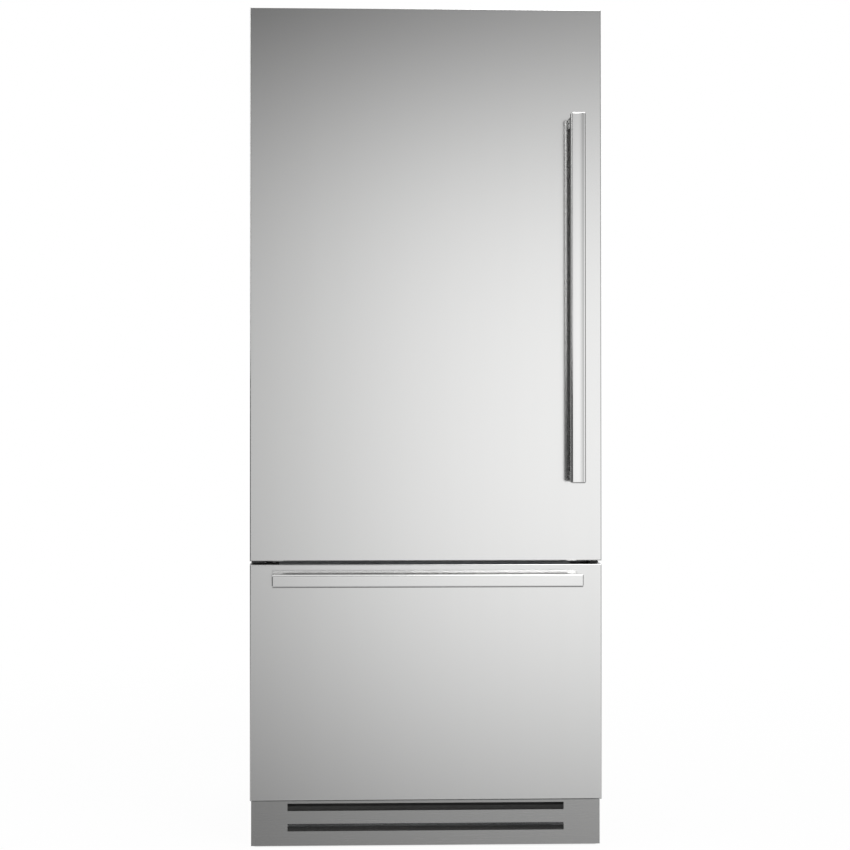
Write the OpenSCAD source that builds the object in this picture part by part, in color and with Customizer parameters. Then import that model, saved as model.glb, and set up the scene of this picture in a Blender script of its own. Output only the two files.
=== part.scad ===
// Built-in refrigerator with a side-hinged upper door and a pull-out freezer drawer below it.
// Millimetres. X runs to the right, -Y to the front and Z up. The origin is on the floor,
// in the middle of the whole unit, handles included.

/* [Overall] */
// Height from the floor to the top edge of the door
unit_h = 2134; // [2090:1:2180]
// Width of the door and of the drawer front
front_w = 896; // [870:1:910]
// Depth of the cabinet behind the fronts
cab_d = 560; // [545:1:590]
// How far the fronts stand out past each side of the cabinet
reveal = 3; // [2:0.5:5]
// How far the cabinet top lies below the top edge of the door
top_drop = 12; // [11:0.5:15]

/* [Cabinet] */
// Sheet thickness of the outer casing
shell_t = 1.2; // [0.8:0.1:1.6]
// Insulated side wall, casing and liner included
wall_t = 45; // [42:1:50]
// Insulated rear wall
rear_t = 50; // [46:1:56]
// Insulated roof
roof_t = 52; // [48:1:60]
// Insulated wall between the two compartments
divider_t = 90; // [88:1:98]
// Thickness of the moulded liners
liner_t = 2.5; // [2:0.1:3]
// Corner radius of the liners
liner_r = 18; // [10:1:24]
// Width of the steel face frame that the seals close on
face_w = 30; // [28:0.5:34]
// Height of the freezer floor above the ground
freezer_floor = 165; // [160:1:175]
// Sheet thickness of the rear panel and rear cover
back_t = 0.8; // [0.6:0.1:1.2]
// Depth of the stiffening swages in the rear panel
swage_d = 3.2; // [2:0.2:5]

/* [Base and machine space] */
// Height of the casing floor above the ground
base_h = 105; // [100:1:110]
// Ground clearance under the casing sides
side_clear = 35; // [32:1:40]
// Depth of the machine space at the rear
machine_d = 235; // [228:1:250]
// Height of the roof of the machine space
machine_h = 330; // [315:1:345]
// Sheet thickness of the base frame
frame_t = 2; // [1.5:0.1:3]
// Radius of the rear rollers
roller_r = 22; // [20:0.5:24]
// Width of a rear roller
roller_w = 24; // [20:1:28]
// Radius of the roller axles
axle_r = 4; // [3:0.5:5]
// Radius of the screw of a levelling leg
leg_r = 6; // [5:0.5:8]
// Radius of the foot of a levelling leg
foot_r = 20; // [16:1:24]

/* [Plinth] */
// Height of the top edge of the plinth
plinth_h = 115.5; // [113:0.5:117]
// Gap between the floor and the plinth
plinth_clear = 2; // [1:0.5:6]
// How far the plinth stands back from the fronts
plinth_back = 15; // [8:1:30]
// Sheet thickness of the plinth
plinth_t = 1.5; // [1:0.1:2]
// Length of an air slot
slot_w = 705; // [600:5:780]
// Height of an air slot
slot_h = 19; // [16:0.5:22]
// Height of the lower edge of the lower slot
slot_z = 38.5; // [36:0.5:41]
// Distance from one slot to the next
slot_pitch = 51.5; // [48:0.5:53]

/* [Fronts] */
// Thickness of the door and of the drawer front
door_t = 60; // [56:1:66]
// Height of the drawer front's lower edge above the ground
drawer_z = 119.5; // [117:0.5:121]
// Height of the drawer front
drawer_h = 598; // [590:0.5:612]
// Gap between the drawer front and the door
front_gap = 8.5; // [8:0.5:11]
// Gap between the fronts and the cabinet, which the seals fill
seal_gap = 10; // [9:0.5:12]
// Sheet thickness of the steel skins
skin_t = 1.2; // [0.8:0.1:1.6]
// Radius of the folded edges of the skins
edge_r = 2.5; // [1.6:0.1:3.5]
// Width of the door seals
seal_w = 14; // [10:1:16]
// Distance from the edge of a front to its seal
seal_inset = 18; // [18:0.5:20]
// Height of the ribs moulded into the door liner
rib_h = 40; // [30:1:44]
// Width of those ribs
rib_w = 22; // [14:1:26]

/* [Hinges] */
// Distance from the left edge of the door to the hinge axis
hinge_in = 16; // [15:0.5:17]
// Distance from the back of the door to the hinge axis
hinge_deep = 26; // [22:1:30]
// Radius of the hinge pins
pin_r = 5; // [4:0.5:6]
// Thickness of the hinge plates
plate_t = 5; // [4:0.5:5.5]
// Length of a pin inside its bearing
pin_l = 25; // [20:1:30]

/* [Handles] */
// How far the handles stand out from the fronts
handle_reach = 65; // [58:1:75]
// Depth of a handle bar, front to back
bar_d = 30; // [24:1:34]
// Width of the door's bar
door_bar_w = 36; // [30:1:40]
// Length of the door's bar
door_bar_l = 933; // [880:1:980]
// Height of the bar's lower end above the door's lower edge
door_bar_up = 200; // [180:1:220]
// Distance from the right edge of the door to the bar
door_bar_in = 50.6; // [44:0.2:60]
// Height of the drawer's bar
drawer_bar_h = 32; // [28:1:36]
// Length of the drawer's bar
drawer_bar_l = 782; // [740:1:800]
// Distance from the top edge of the drawer front to the bar
drawer_bar_down = 20; // [14:0.5:30]
// Length of a handle post along the bar
post_l = 27; // [22:1:32]
// Width of a handle post across the bar
post_w = 22; // [16:1:26]
// Radius of the long edges of the bars
bar_r = 2; // [1:0.1:4]

/* [Refrigerator fittings] */
// Distance from the cabinet face to the shelf fronts
shelf_inset = 125; // [118:1:140]
// Thickness of the glass shelves
glass_t = 4; // [3:0.5:6]
// Distances from the compartment's roof down to the three shelves
shelf_down = [830, 560, 290];
// Distance from the cabinet face to the crisper fronts
crisper_inset = 75; // [75:1:90]
// Height of a crisper
crisper_h = 190; // [170:1:195]
// Wall thickness of the crispers, bins and baskets
tub_t = 2.5; // [2:0.1:3]
// Depth of a door bin
bin_d = 104; // [90:1:108]
// Distance from the crisper cover up to the lowest door bin
bin_up = 42.25; // [38:0.25:50]
// Distance from the compartment's roof down to the top door bin
bin_down = 220; // [205:1:240]
// Place of the middle door bin between the other two
bin_share = 0.4643; // [0.4:0.01:0.6]
// Height of a door bin
bin_h = 90; // [70:1:95]
// Radius of the pins of the dairy lid
lid_pin_r = 2.5; // [2:0.1:3]

/* [Freezer fittings] */
// Height of the middle of the drawer runners
runner_z = 470; // [460:1:480]
// Length of a runner member
runner_l = 420; // [405:1:425]
// Height of a runner's outer member
runner_h = 46; // [42:1:50]
// Space that a runner takes up beside the basket
runner_w = 13; // [12:0.5:15]
// Sheet thickness of the runner members
runner_t = 1.5; // [1.2:0.1:1.8]
// Depth of the sliding tray
tray_d = 200; // [160:5:210]
// Height of the sliding tray
tray_h = 70; // [50:1:90]

/* [Cooling] */
// Radius of the refrigerant tubes
tube_r = 4; // [3:0.5:5]
// Number of fins on a heat exchanger
fins = 14; // [8:1:20]
// Radius of the condenser fan
condenser_fan_r = 75; // [60:1:80]
// Radius of the freezer fan
freezer_fan_r = 44; // [36:1:46]
// Radius of the compressor can
compressor_r = 88; // [80:1:94]

/* [Hidden] */
$fn = 48;

// Clearances: a running fit round a pin, a seat between parts that move past each other
// and a gap that lets a part be lifted out
run_fit = 0.05;
slide_fit = 0.3;
lift_gap = 1.5;

// Planes from front to back
total_d = handle_reach + door_t + seal_gap + cab_d;
back_y = total_d / 2;
face_y = back_y - cab_d;
seal_y = face_y - seal_gap;
front_y = seal_y - door_t;
bar_y = front_y - handle_reach;
back_d = back_t + swage_d;
shell_back = back_y - back_d;
room_back = back_y - rear_t;
hood_y = back_y - machine_d;
step_y = hood_y - wall_t;

// Levels from the floor up
cab_z = base_h;
cab_top = unit_h - top_drop;
drawer_top = drawer_z + drawer_h;
door_z = drawer_top + front_gap;
mid_z = (drawer_top + door_z) / 2;
freezer_top = mid_z - divider_t / 2;
fridge_floor = mid_z + divider_t / 2;
fridge_top = cab_top - roof_t;
step_z = machine_h + wall_t;
sill_z = cab_z + 45;

// Widths, each half of the whole
half_front = front_w / 2;
half_cab = half_front - reveal;
half_in = half_cab - shell_t;
half_room = half_cab - wall_t;

// Hinge axis of the door
axis_x = -half_front + hinge_in;
axis_y = seal_y - hinge_deep;
arm_w = 13;
pocket_z = cab_top - 2;
pocket_x = axis_x + arm_w + 2;
pocket_y = front_y + 4;
lower_plate_z = mid_z - plate_t / 2;
screw_head_r = 5.5;
screw_head_t = 3;
screw_r = 3;

// Rear machine space
leg_x = half_in - 20;
leg_y = face_y + 45;
roller_y = back_y - 60;
pan_z = side_clear + frame_t;
can_x = -225;
can_y = hood_y + 122;
can_z = pan_z + 16;
can_h = 182;
fan_y = hood_y + 115;
fan_z = pan_z + 102;
fan_x = -30;
coil_x = [70, 390];
coil_y = fan_y - 50;
coil_z = pan_z + 14;
coil_d = 96;
coil_h = 180;

// Freezer air circuit
cover_y = room_back - 66;
freezer_fan_z = freezer_top - 58;
evap_half = half_room - 90;
evap_up = 16;
blade_gap = 4;
fin_t = 1;
fan_h = 18;
motor_gap = 3;
motor_l = 24;
shaft_r = 2.5;
shaft_l = 12;

// Refrigerator fittings
glass_gap = 0.2;
track_x = 278;
track_d = 10;
duct_d = 22;
duct_half = [96, 112];
shelf_back = room_back - duct_d - 2;
shelf_half = half_room - 14;
crisper_y = face_y + crisper_inset;
crisper_back = room_back - 28;
crisper_z = fridge_floor + 6;
rail_w = 34;
mid_rail = 8;
rim = 8;
rim_t = 4;
cover_z = crisper_z + crisper_h + 5;
shelf_z = [for (d = shelf_down) fridge_top - d];
bin_low = cover_z + bin_up;
bin_high = fridge_top - bin_down;
bin_z = [bin_low, bin_low + bin_share * (bin_high - bin_low), bin_high];
panel_half = 190;
rib_out = half_room - 12;
bin_half = rib_out - rib_w - slide_fit;
rib_low = bin_z[0] - 25;
rib_top = min(fridge_top - 10, bin_z[2] + bin_h + bin_d + 16);
lid_y = seal_y + 13;
lid_z = bin_z[2] + bin_h + slide_fit + 2.7;
lid_t = 3;

// Freezer fittings
runner_y = face_y + 12;
inner_end = runner_y + runner_l;
ledge_w = 15;
ledge_z = runner_z + 8;
ledge_t = 3;
basket_half = half_room - runner_w - ledge_w - 1;
rim_z = ledge_z + ledge_t;
basket_y = [seal_y + 32, step_y - 22, inner_end - 4];
basket_z = [freezer_floor + 8, step_z + 14, rim_z + tub_t];
tray_y = basket_y[2] - 6;
drawer_rib_h = 22;
drawer_rib_half = half_room - 70;

// Box from its low corner to its high corner
module block(low, high) {
    translate(low) cube(high - low);
}

// Flat rectangle with rounded corners
module plate(low, high, r) {
    translate([low.x + r, low.y]) square([high.x - low.x - 2 * r, high.y - low.y]);
    translate([low.x, low.y + r]) square([high.x - low.x, high.y - low.y - 2 * r]);
    for (x = [low.x + r, high.x - r], y = [low.y + r, high.y - r])
        translate([x, y]) circle(r);
}

// Solid from a front view outline, between two depths
module from_front(y0, y1) {
    translate([0, y1, 0]) rotate([90, 0, 0]) linear_extrude(y1 - y0) children();
}

// Solid from a side view outline (y, z), between two widths
module from_side(x0, x1) {
    translate([x0, 0, 0]) rotate([90, 0, 90]) linear_extrude(x1 - x0) children();
}

// Solid from a plan outline, between two heights
module from_top(z0, z1) {
    translate([0, 0, z0]) linear_extrude(z1 - z0) children();
}

// Rod or hole along one direction
module rod_x(x0, x1, y, z, r) {
    translate([x0, y, z]) rotate([0, 90, 0]) cylinder(r = r, h = x1 - x0);
}
module rod_y(x, y0, y1, z, r) {
    translate([x, y1, z]) rotate([90, 0, 0]) cylinder(r = r, h = y1 - y0);
}
module rod_z(x, y, z0, z1, r) {
    translate([x, y, z0]) cylinder(r = r, h = z1 - z0);
}

// The same piece on both sides
module both_sides() {
    children();
    mirror([1, 0, 0]) children();
}

// Inner space of the upper compartment, grown by g on every side but the front
module fridge_room(g, y0) {
    from_front(y0, room_back + g)
        plate([-half_room - g, fridge_floor - g], [half_room + g, fridge_top + g], liner_r + g);
}

// Inner space of the freezer, with the step over the machine space
module freezer_room(g, y0) {
    intersection() {
        from_front(y0, room_back + g)
            plate([-half_room - g, freezer_floor - g], [half_room + g, freezer_top + g], liner_r + g);
        from_side(-half_cab, half_cab) polygon([
            [y0, freezer_floor - g], [step_y + g, freezer_floor - g], [step_y + g, step_z - g],
            [room_back + g, step_z - g], [room_back + g, freezer_top + g], [y0, freezer_top + g]
        ]);
    }
}

// Folded steel casing: sides and roof, face frame, and the floor that steps over the machine space
module cabinet_shell() color("gainsboro") {
    difference() {
        block([-half_cab, face_y, side_clear], [half_cab, shell_back, cab_top]);
        block([-half_in, face_y - 1, side_clear - 1], [half_in, back_y + 1, cab_top - shell_t]);
    }
    from_front(face_y, face_y + shell_t) difference() {
        translate([-half_cab, cab_z]) square([2 * half_cab, cab_top - cab_z]);
        translate([-half_cab + face_w, sill_z])
            square([2 * (half_cab - face_w), cab_top - face_w - sill_z]);
    }
    from_side(-half_in - shell_t / 2, half_in + shell_t / 2) polygon([
        [face_y, cab_z], [hood_y, cab_z], [hood_y, machine_h], [shell_back, machine_h],
        [shell_back, machine_h - shell_t], [hood_y + shell_t, machine_h - shell_t],
        [hood_y + shell_t, cab_z - shell_t], [face_y, cab_z - shell_t]
    ]);
}

// Foam that fills the walls between the casing and the liners
module insulation() color("wheat") difference() {
    block([-half_in, face_y + shell_t + liner_t, cab_z], [half_in, shell_back, cab_top - shell_t]);
    block([-half_cab, hood_y, 0], [half_cab, back_y, machine_h]);
    fridge_room(liner_t, face_y);
    freezer_room(liner_t, face_y);
}

// Moulded liner of the upper compartment with its front flange
module fridge_liner() color("white") difference() {
    union() {
        fridge_room(liner_t, face_y + shell_t);
        from_front(face_y + shell_t, face_y + shell_t + liner_t)
            translate([-half_in + 5, mid_z + 1.5])
                square([2 * (half_in - 5), cab_top - shell_t - 5 - mid_z - 1.5]);
    }
    fridge_room(0, face_y);
}

// Moulded liner of the freezer, stepped at the rear
module freezer_liner() color("white") difference() {
    union() {
        freezer_room(liner_t, face_y + shell_t);
        from_front(face_y + shell_t, face_y + shell_t + liner_t)
            translate([-half_in + 5, cab_z + 5])
                square([2 * (half_in - 5), mid_z - 1.5 - cab_z - 5]);
    }
    freezer_room(0, face_y);
}

// Steel cover of the bar between the two compartments
module mullion() color("gainsboro")
    from_front(face_y, face_y + shell_t)
        translate([-half_cab + face_w, freezer_top + 5])
            square([2 * (half_cab - face_w), divider_t - 10]);

// Rear panel with upright stiffening swages
swage_x = [-330, -110, 110, 330];
swage_half = 34;
function swaged(x) = concat(
    [[-half_cab, x]],
    [for (c = swage_x, p = [[-swage_half - 8, 0], [-swage_half, 1], [swage_half, 1], [swage_half + 8, 0]])
        [c + p.x, x + p.y * swage_d]],
    [[half_cab, x]]
);
module back_panel() color("silver")
    from_top(machine_h - 10, cab_top)
        polygon(concat(swaged(shell_back),
            [for (i = [len(swaged(0)) - 1 : -1 : 0]) swaged(shell_back + back_t)[i]]));

// Louvred cover of the machine space
louvre_w = 66;
louvre_h = 6;
inlet = [-390, 110, 34, 24, 20];
module rear_cover() color("silver") {
    louvred_sheet();
    difference() {
        inlet_box(2.5, 0);
        inlet_box(0, 1);
    }
    for (p = [[-9, -3], [0, 4], [9, -3]])
        block([inlet.x + p.x - 1, shell_back - inlet[4] - 1, inlet.y + p.y - 3],
              [inlet.x + p.x + 1, shell_back - 6, inlet.y + p.y + 3]);
}
module louvred_sheet() difference() {
    block([-half_cab, shell_back, side_clear + 3], [half_cab, shell_back + back_t, machine_h - 11]);
    for (x = [-280 : louvre_w + 18 : 380], z = [80 : 22 : machine_h - 60])
        block([x, shell_back - 1, z], [x + louvre_w, back_y, z + louvre_h]);
    inlet_box(0, 1);
}

// Mains inlet riveted into the rear cover: a recess with three blades
module inlet_box(wall, out)
    block([inlet.x - inlet[2] / 2 - wall, shell_back - inlet[4] - wall, inlet.y - inlet[3] / 2 - wall],
          [inlet.x + inlet[2] / 2 + wall, shell_back + back_t + out, inlet.y + inlet[3] / 2 + wall]);

// Steel base frame: side rails, machine pan, front beam, leg bosses and roller forks
module base_frame() color("dimgray") {
    rail_y = [face_y + 5, shell_back - 4];
    rail_top = cab_z - shell_t;
    fork = roller_w / 2 + 1.2;
    difference() {
        union() {
            both_sides() {
                block([half_in - frame_t, rail_y[0], side_clear], [half_in, rail_y[1], rail_top]);
                block([half_in - 40, rail_y[0], side_clear], [half_in, rail_y[1], pan_z]);
                block([half_in - 30, rail_y[0], rail_top - frame_t], [half_in, hood_y, rail_top]);
                rod_z(leg_x, leg_y, side_clear, pan_z + 30, leg_r + 6);
            }
            block([-half_in, hood_y + shell_t, side_clear], [half_in, rail_y[1], pan_z]);
            block([-half_in, rail_y[0], rail_top - 24], [half_in, rail_y[0] + frame_t, rail_top]);
            block([-half_in, rail_y[1] - frame_t, side_clear], [half_in, rail_y[1], pan_z + 18]);
            for (s = [-1, 1], e = [-1, 1])
                translate([s * leg_x + e * (fork + frame_t / 2), roller_y, 0])
                    from_side(-frame_t / 2, frame_t / 2) polygon([
                        [-12, roller_r - 8], [12, roller_r - 8], [26, pan_z + 18], [-26, pan_z + 18]
                    ]);
        }
        both_sides() rod_z(leg_x, leg_y, 0, cab_z, leg_r + run_fit);
        for (s = [-1, 1])
            translate([s * leg_x, roller_y, 0])
                block([-fork, -roller_r - 4, 0], [fork, roller_r + 4, pan_z + 1]);
    }
    for (s = [-1, 1])
        rod_x(s * leg_x - fork - frame_t - 1.5, s * leg_x + fork + frame_t + 1.5,
              roller_y, roller_r, axle_r);
}

// Front levelling legs: foot, hexagon and screw
module levelling_legs() color("gray") both_sides() {
    rod_z(leg_x, leg_y, 6, pan_z + 40, leg_r);
    translate([leg_x, leg_y, 0]) rotate_extrude() polygon([
        [0, 0], [foot_r, 0], [foot_r, 5], [foot_r - 6, 10], [0, 10]
    ]);
    translate([leg_x, leg_y, 14]) cylinder(r = leg_r + 5, h = 10, $fn = 6);
}

// Rear rollers on their axles
module roller(s) color("black") translate([s * leg_x, roller_y, roller_r])
    rotate([0, 90, 0]) translate([0, 0, -roller_w / 2]) rotate_extrude() polygon([
        [axle_r + run_fit, 0], [axle_r + 4, 0], [axle_r + 4, 2], [roller_r - 5, 2], [roller_r - 3, 0],
        [roller_r, 3], [roller_r, roller_w - 3], [roller_r - 3, roller_w], [roller_r - 5, roller_w - 2],
        [axle_r + 4, roller_w - 2], [axle_r + 4, roller_w], [axle_r + run_fit, roller_w]
    ]);
module left_roller() roller(-1);
module right_roller() roller(1);

// Plinth: folded sheet with two long air slots, each with an inward louvre lip
module plinth() color("silver") {
    y0 = front_y + plinth_back;
    y1 = y0 + plinth_t;
    difference() {
        union() {
            block([-half_cab, y0, plinth_clear], [half_cab, y1, plinth_h]);
            block([-half_in, y0, plinth_h - plinth_t], [half_in, y0 + 14, plinth_h]);
        }
        for (i = [0, 1])
            block([-slot_w / 2, y0 - 1, slot_z + i * slot_pitch],
                  [slot_w / 2, y1 + 1, slot_z + i * slot_pitch + slot_h]);
    }
    both_sides()
        block([half_in - plinth_t, y0, plinth_clear], [half_in, face_y + 5, cab_z - 2]);
    for (i = [0, 1]) {
        z = slot_z + i * slot_pitch;
        from_side(-slot_w / 2 - 4, slot_w / 2 + 4) polygon([
            [y1, z - 3], [y1, z], [y1 + 15, z + 8], [y1 + 15, z + 8 - plinth_t], [y1 + 4, z - 3]
        ]);
    }
}

// Rail on the roof that is screwed up into the niche
rail_holes = 480;
module fixing_rail() color("silver") difference() {
    from_side(-rail_holes / 2 - 40, rail_holes / 2 + 40) polygon([
        [face_y + 80, cab_top], [face_y + 106, cab_top], [face_y + 106, unit_h - 2],
        [face_y + 134, unit_h - 2], [face_y + 134, unit_h], [face_y + 104, unit_h],
        [face_y + 104, cab_top + 2], [face_y + 80, cab_top + 2]
    ]);
    for (s = [-1, 1]) rod_z(s * rail_holes / 2, face_y + 120, cab_top, unit_h + 1, 3.5);
}

// Places of the three screws in the top hinge plate
top_screws = [for (x = [0, 22, 44]) [-half_cab + 16 + x, face_y + 34 + (x == 22 ? 16 : 0)]];

// Top hinge: plate on the roof, arm over the door and the pin that points down
module top_hinge() color("gray") {
    difference() {
        from_top(cab_top, cab_top + plate_t) {
            plate([-half_cab + 2, face_y + 4], [-half_cab + 76, face_y + 64], 6);
            translate([axis_x - arm_w, axis_y]) square([2 * arm_w, face_y + 20 - axis_y]);
            translate([axis_x, axis_y]) circle(arm_w);
        }
        for (p = top_screws) rod_z(p.x, p.y, cab_top - 1, cab_top + plate_t + 1, screw_r + run_fit);
    }
    rod_z(axis_x, axis_y, pocket_z - pin_l, cab_top + 1, pin_r);
}

// Lower hinge: plate on the face frame, arm in the gap and the pin that points up
lower_screws = [-half_cab + 34, -half_cab + 58];
foot_z = mid_z - 16;
lower_screw_z = foot_z + 7;
module lower_hinge() color("gray") {
    difference() {
        block([-half_cab + 3, face_y - 4, foot_z], [-half_cab + 70, face_y, mid_z + 16]);
        for (x = lower_screws) rod_y(x, face_y - 5, face_y + 1, lower_screw_z, screw_r + run_fit);
    }
    from_top(lower_plate_z, lower_plate_z + plate_t) {
        translate([axis_x - arm_w, axis_y]) square([arm_w + 21, face_y - 1 - axis_y]);
        translate([axis_x - arm_w + 10, axis_y - 14]) square([arm_w + 11, 16]);
        translate([axis_x, axis_y]) circle(arm_w);
    }
    rod_z(axis_x, axis_y, lower_plate_z + 1, door_z - 0.2, 9);
    rod_z(axis_x, axis_y, lower_plate_z + 1, door_z + skin_t + pin_l, pin_r);
}

// Pan-head screws of both hinges
module hinge_screws() color("silver") {
    for (p = top_screws) {
        rod_z(p.x, p.y, cab_top, cab_top + plate_t, screw_r);
        rod_z(p.x, p.y, cab_top + plate_t, cab_top + plate_t + screw_head_t, screw_head_r);
    }
    for (x = lower_screws) {
        rod_y(x, face_y - 4, face_y, lower_screw_z, screw_r);
        rod_y(x, face_y - 4 - screw_head_t, face_y - 4, lower_screw_z, screw_head_r);
    }
}

// Blanking cap in the gap on the side away from the hinges
module gap_cap() color("black") {
    block([half_cab - 66, face_y - 4, mid_z - 3], [half_cab - 3, face_y, mid_z + 14]);
    block([half_cab - 24, front_y + 16, mid_z - 3], [half_cab - 3, face_y, mid_z + 2]);
}

// Control panel under the ceiling, with a sloping face
module control_panel() color("whitesmoke")
    from_side(-panel_half, panel_half) polygon([
        [face_y + 48, fridge_top], [face_y + 56, fridge_top - 30], [face_y + 62, fridge_top - 33],
        [face_y + 130, fridge_top - 10], [face_y + 134, fridge_top]
    ]);

// Light bars: one upright on each side wall and one under the freezer ceiling
module light_bars() color("white") {
    both_sides() from_top(rib_low + 60, fridge_top - 60) polygon([
        [half_room, face_y + 84], [half_room - 4, face_y + 87], [half_room - 4, face_y + 101],
        [half_room, face_y + 104]
    ]);
    from_side(-160, 160) polygon([
        [face_y + 60, freezer_top], [face_y + 62, freezer_top - 5], [face_y + 80, freezer_top - 5],
        [face_y + 82, freezer_top]
    ]);
}

// Plan outline of the air duct, or of its inside when t is the wall
module duct_outline(t) polygon([
    [-duct_half[1] + 2 * t, room_back + t], [-duct_half[0] + t, room_back - duct_d + t],
    [duct_half[0] - t, room_back - duct_d + t], [duct_half[1] - 2 * t, room_back + t]
]);

// Air duct down the rear wall of the refrigerator, hollow, with outlet slots
module air_duct() color("whitesmoke") difference() {
    from_top(cover_z + 30, fridge_top - 20) duct_outline(0);
    from_top(cover_z + 33, fridge_top - 23) duct_outline(tub_t);
    for (z = shelf_z, k = [0 : 3], x = [-84, 14])
        block([x, room_back - duct_d - 1, z + 60 + 16 * k],
              [x + 70, room_back - duct_d + tub_t + 1, z + 66 + 16 * k]);
}

// Slotted tracks that carry the shelf brackets
module shelf_tracks() color("silver") both_sides() difference() {
    block([track_x - 9, room_back - track_d, cover_z + 40], [track_x + 9, room_back, fridge_top - 60]);
    for (z = [cover_z + 60 : 60 : fridge_top - 100])
        block([track_x - 2.5, room_back - track_d - 1, z], [track_x + 2.5, room_back - 3, z + 22]);
}

// Shelf: two tapered brackets, a front trim that the pane sits in and a rear trim
module shelf(z) color("whitesmoke") {
    y0 = face_y + shelf_inset;
    y1 = shelf_back;
    both_sides() from_side(track_x - 2, track_x + 2) polygon([
        [y0 + 8, z], [room_back - track_d, z], [room_back - track_d, z - 52], [y1 - 24, z - 44],
        [y0 + 8, z - 9]
    ]);
    from_side(-shelf_half, shelf_half) polygon([
        [y0, z - 10], [y0 + 4, z - 12], [y0 + 12, z - 9], [y0 + 12, z], [y0 + 4, z],
        [y0 + 4, z + glass_t + glass_gap], [y0 + 10, z + glass_t + glass_gap],
        [y0 + 10, z + glass_t + 2], [y0 + 3, z + glass_t + 2.6], [y0, z + glass_t]
    ]);
    from_side(-shelf_half, shelf_half) polygon([
        [y1 - 8, z - 3], [y1, z - 3], [y1, z + glass_t + 8], [y1 - 2, z + glass_t + 8],
        [y1 - 2, z], [y1 - 8, z]
    ]);
}
module lower_shelf() shelf(shelf_z[0]);
module middle_shelf() shelf(shelf_z[1]);
module upper_shelf() shelf(shelf_z[2]);
module shelf_panes() color("lightcyan")
    for (z = shelf_z)
        block([-shelf_half + 1, face_y + shelf_inset + 4 + glass_gap, z],
              [shelf_half - 1, shelf_back - 2 - glass_gap, z + glass_t]);

// Frame of the crispers: side and middle rails with runner ledges, joined at the rear
crisper_ledge = crisper_z + crisper_h - rim_t - slide_fit;
module crisper_frame() color("whitesmoke") {
    y0 = crisper_y + 17;
    both_sides() {
        block([half_room - rail_w, y0, fridge_floor + liner_r], [half_room, room_back - 6, cover_z]);
        block([half_room - rail_w - rim + 1, y0, crisper_ledge - 5],
              [half_room - rail_w, room_back - 6, crisper_ledge]);
    }
    block([-mid_rail, y0, fridge_floor], [mid_rail, room_back - 6, cover_z]);
    block([-mid_rail - rim + 1, y0, crisper_ledge - 5], [mid_rail + rim - 1, room_back - 6, crisper_ledge]);
    block([-half_room + 1, room_back - 18, cover_z - 40], [half_room - 1, room_back - 6, cover_z]);
}

// Glass shelf over the crispers
module crisper_cover() color("lightcyan")
    from_top(cover_z, cover_z + glass_t + 1)
        plate([-half_room + 1, face_y + shelf_inset - 20], [half_room - 1, room_back - 6], 5);

// Crisper: tapered tub with side rims on the ledges and a thick front with a finger groove
module crisper() {
    x0 = -half_room + rail_w + lift_gap;
    x1 = -mid_rail - lift_gap;
    z1 = crisper_z + crisper_h;
    difference() {
        union() {
            block([x0 + rim, crisper_y + 4, crisper_z], [x1 - rim, crisper_back, z1]);
            block([x0, crisper_y + 18, z1 - rim_t], [x1, crisper_back, z1]);
            from_side(x0, x1) polygon([
                [crisper_y + 6, crisper_z], [crisper_y + 15, crisper_z], [crisper_y + 15, z1],
                [crisper_y, z1], [crisper_y, z1 - 40]
            ]);
        }
        block([x0 + rim + tub_t, crisper_y + 15, crisper_z + 3],
              [x1 - rim - tub_t, crisper_back - tub_t, z1 + 1]);
        rod_x((x0 + x1) / 2 - 75, (x0 + x1) / 2 + 75, crisper_y + 1, z1 - 26, 10);
    }
}
module left_crisper() color("lightcyan") crisper();
module right_crisper() color("lightcyan") mirror([1, 0, 0]) crisper();

// Steel skin of a front: a tray with folded edges, open at the back
module front_skin(z0, z1) difference() {
    intersection() {
        from_top(z0, z1) {
            plate([-half_front, front_y], [half_front, seal_y - edge_r], edge_r);
            translate([-half_front, seal_y - 3 * edge_r]) square([front_w, 3 * edge_r]);
        }
        from_side(-half_front, half_front) {
            plate([front_y, z0], [seal_y - edge_r, z1], edge_r);
            translate([seal_y - 3 * edge_r, z0]) square([3 * edge_r, z1 - z0]);
        }
    }
    block([-half_front + skin_t, front_y + skin_t, z0 + skin_t],
          [half_front - skin_t, seal_y + 1, z1 - skin_t]);
}

// Space of the hinge arm in the top corner of the door
module hinge_pocket(g) {
    block([-half_front - 1, pocket_y - g, pocket_z - g], [pocket_x + g, seal_y + 60, unit_h + 1]);
}

module door_skin() color("silver") {
    difference() {
        front_skin(door_z, unit_h);
        hinge_pocket(0);
        rod_z(axis_x, axis_y, door_z - 1, door_z + 5, pin_r + 2);
    }
    // walls and floor of the pocket
    difference() {
        intersection() {
            hinge_pocket(skin_t);
            block([-half_front + skin_t / 2, front_y + skin_t / 2, door_z],
                  [half_front, seal_y, unit_h - skin_t / 2]);
        }
        hinge_pocket(0);
        rod_z(axis_x, axis_y, pocket_z - 5, pocket_z + 1, pin_r + 2);
    }
}
module drawer_skin() color("silver") front_skin(drawer_z, drawer_top);

// Bearing blocks for the hinge pins, inside the corners of the door
bearing = [half_front - skin_t, 46, 36];
module bearing_space(z0, z1) {
    block([-bearing.x, front_y + skin_t, z0], [-bearing.x + bearing.y, seal_y - liner_t, z1]);
}
module hinge_bearings() color("black") {
    difference() {
        bearing_space(pocket_z - skin_t - bearing.z, pocket_z - skin_t);
        rod_z(axis_x, axis_y, pocket_z - pin_l - 3, pocket_z, pin_r + run_fit);
    }
    difference() {
        bearing_space(door_z + skin_t, door_z + skin_t + bearing.z);
        rod_z(axis_x, axis_y, door_z, door_z + skin_t + pin_l + 3, pin_r + run_fit);
    }
}

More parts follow.
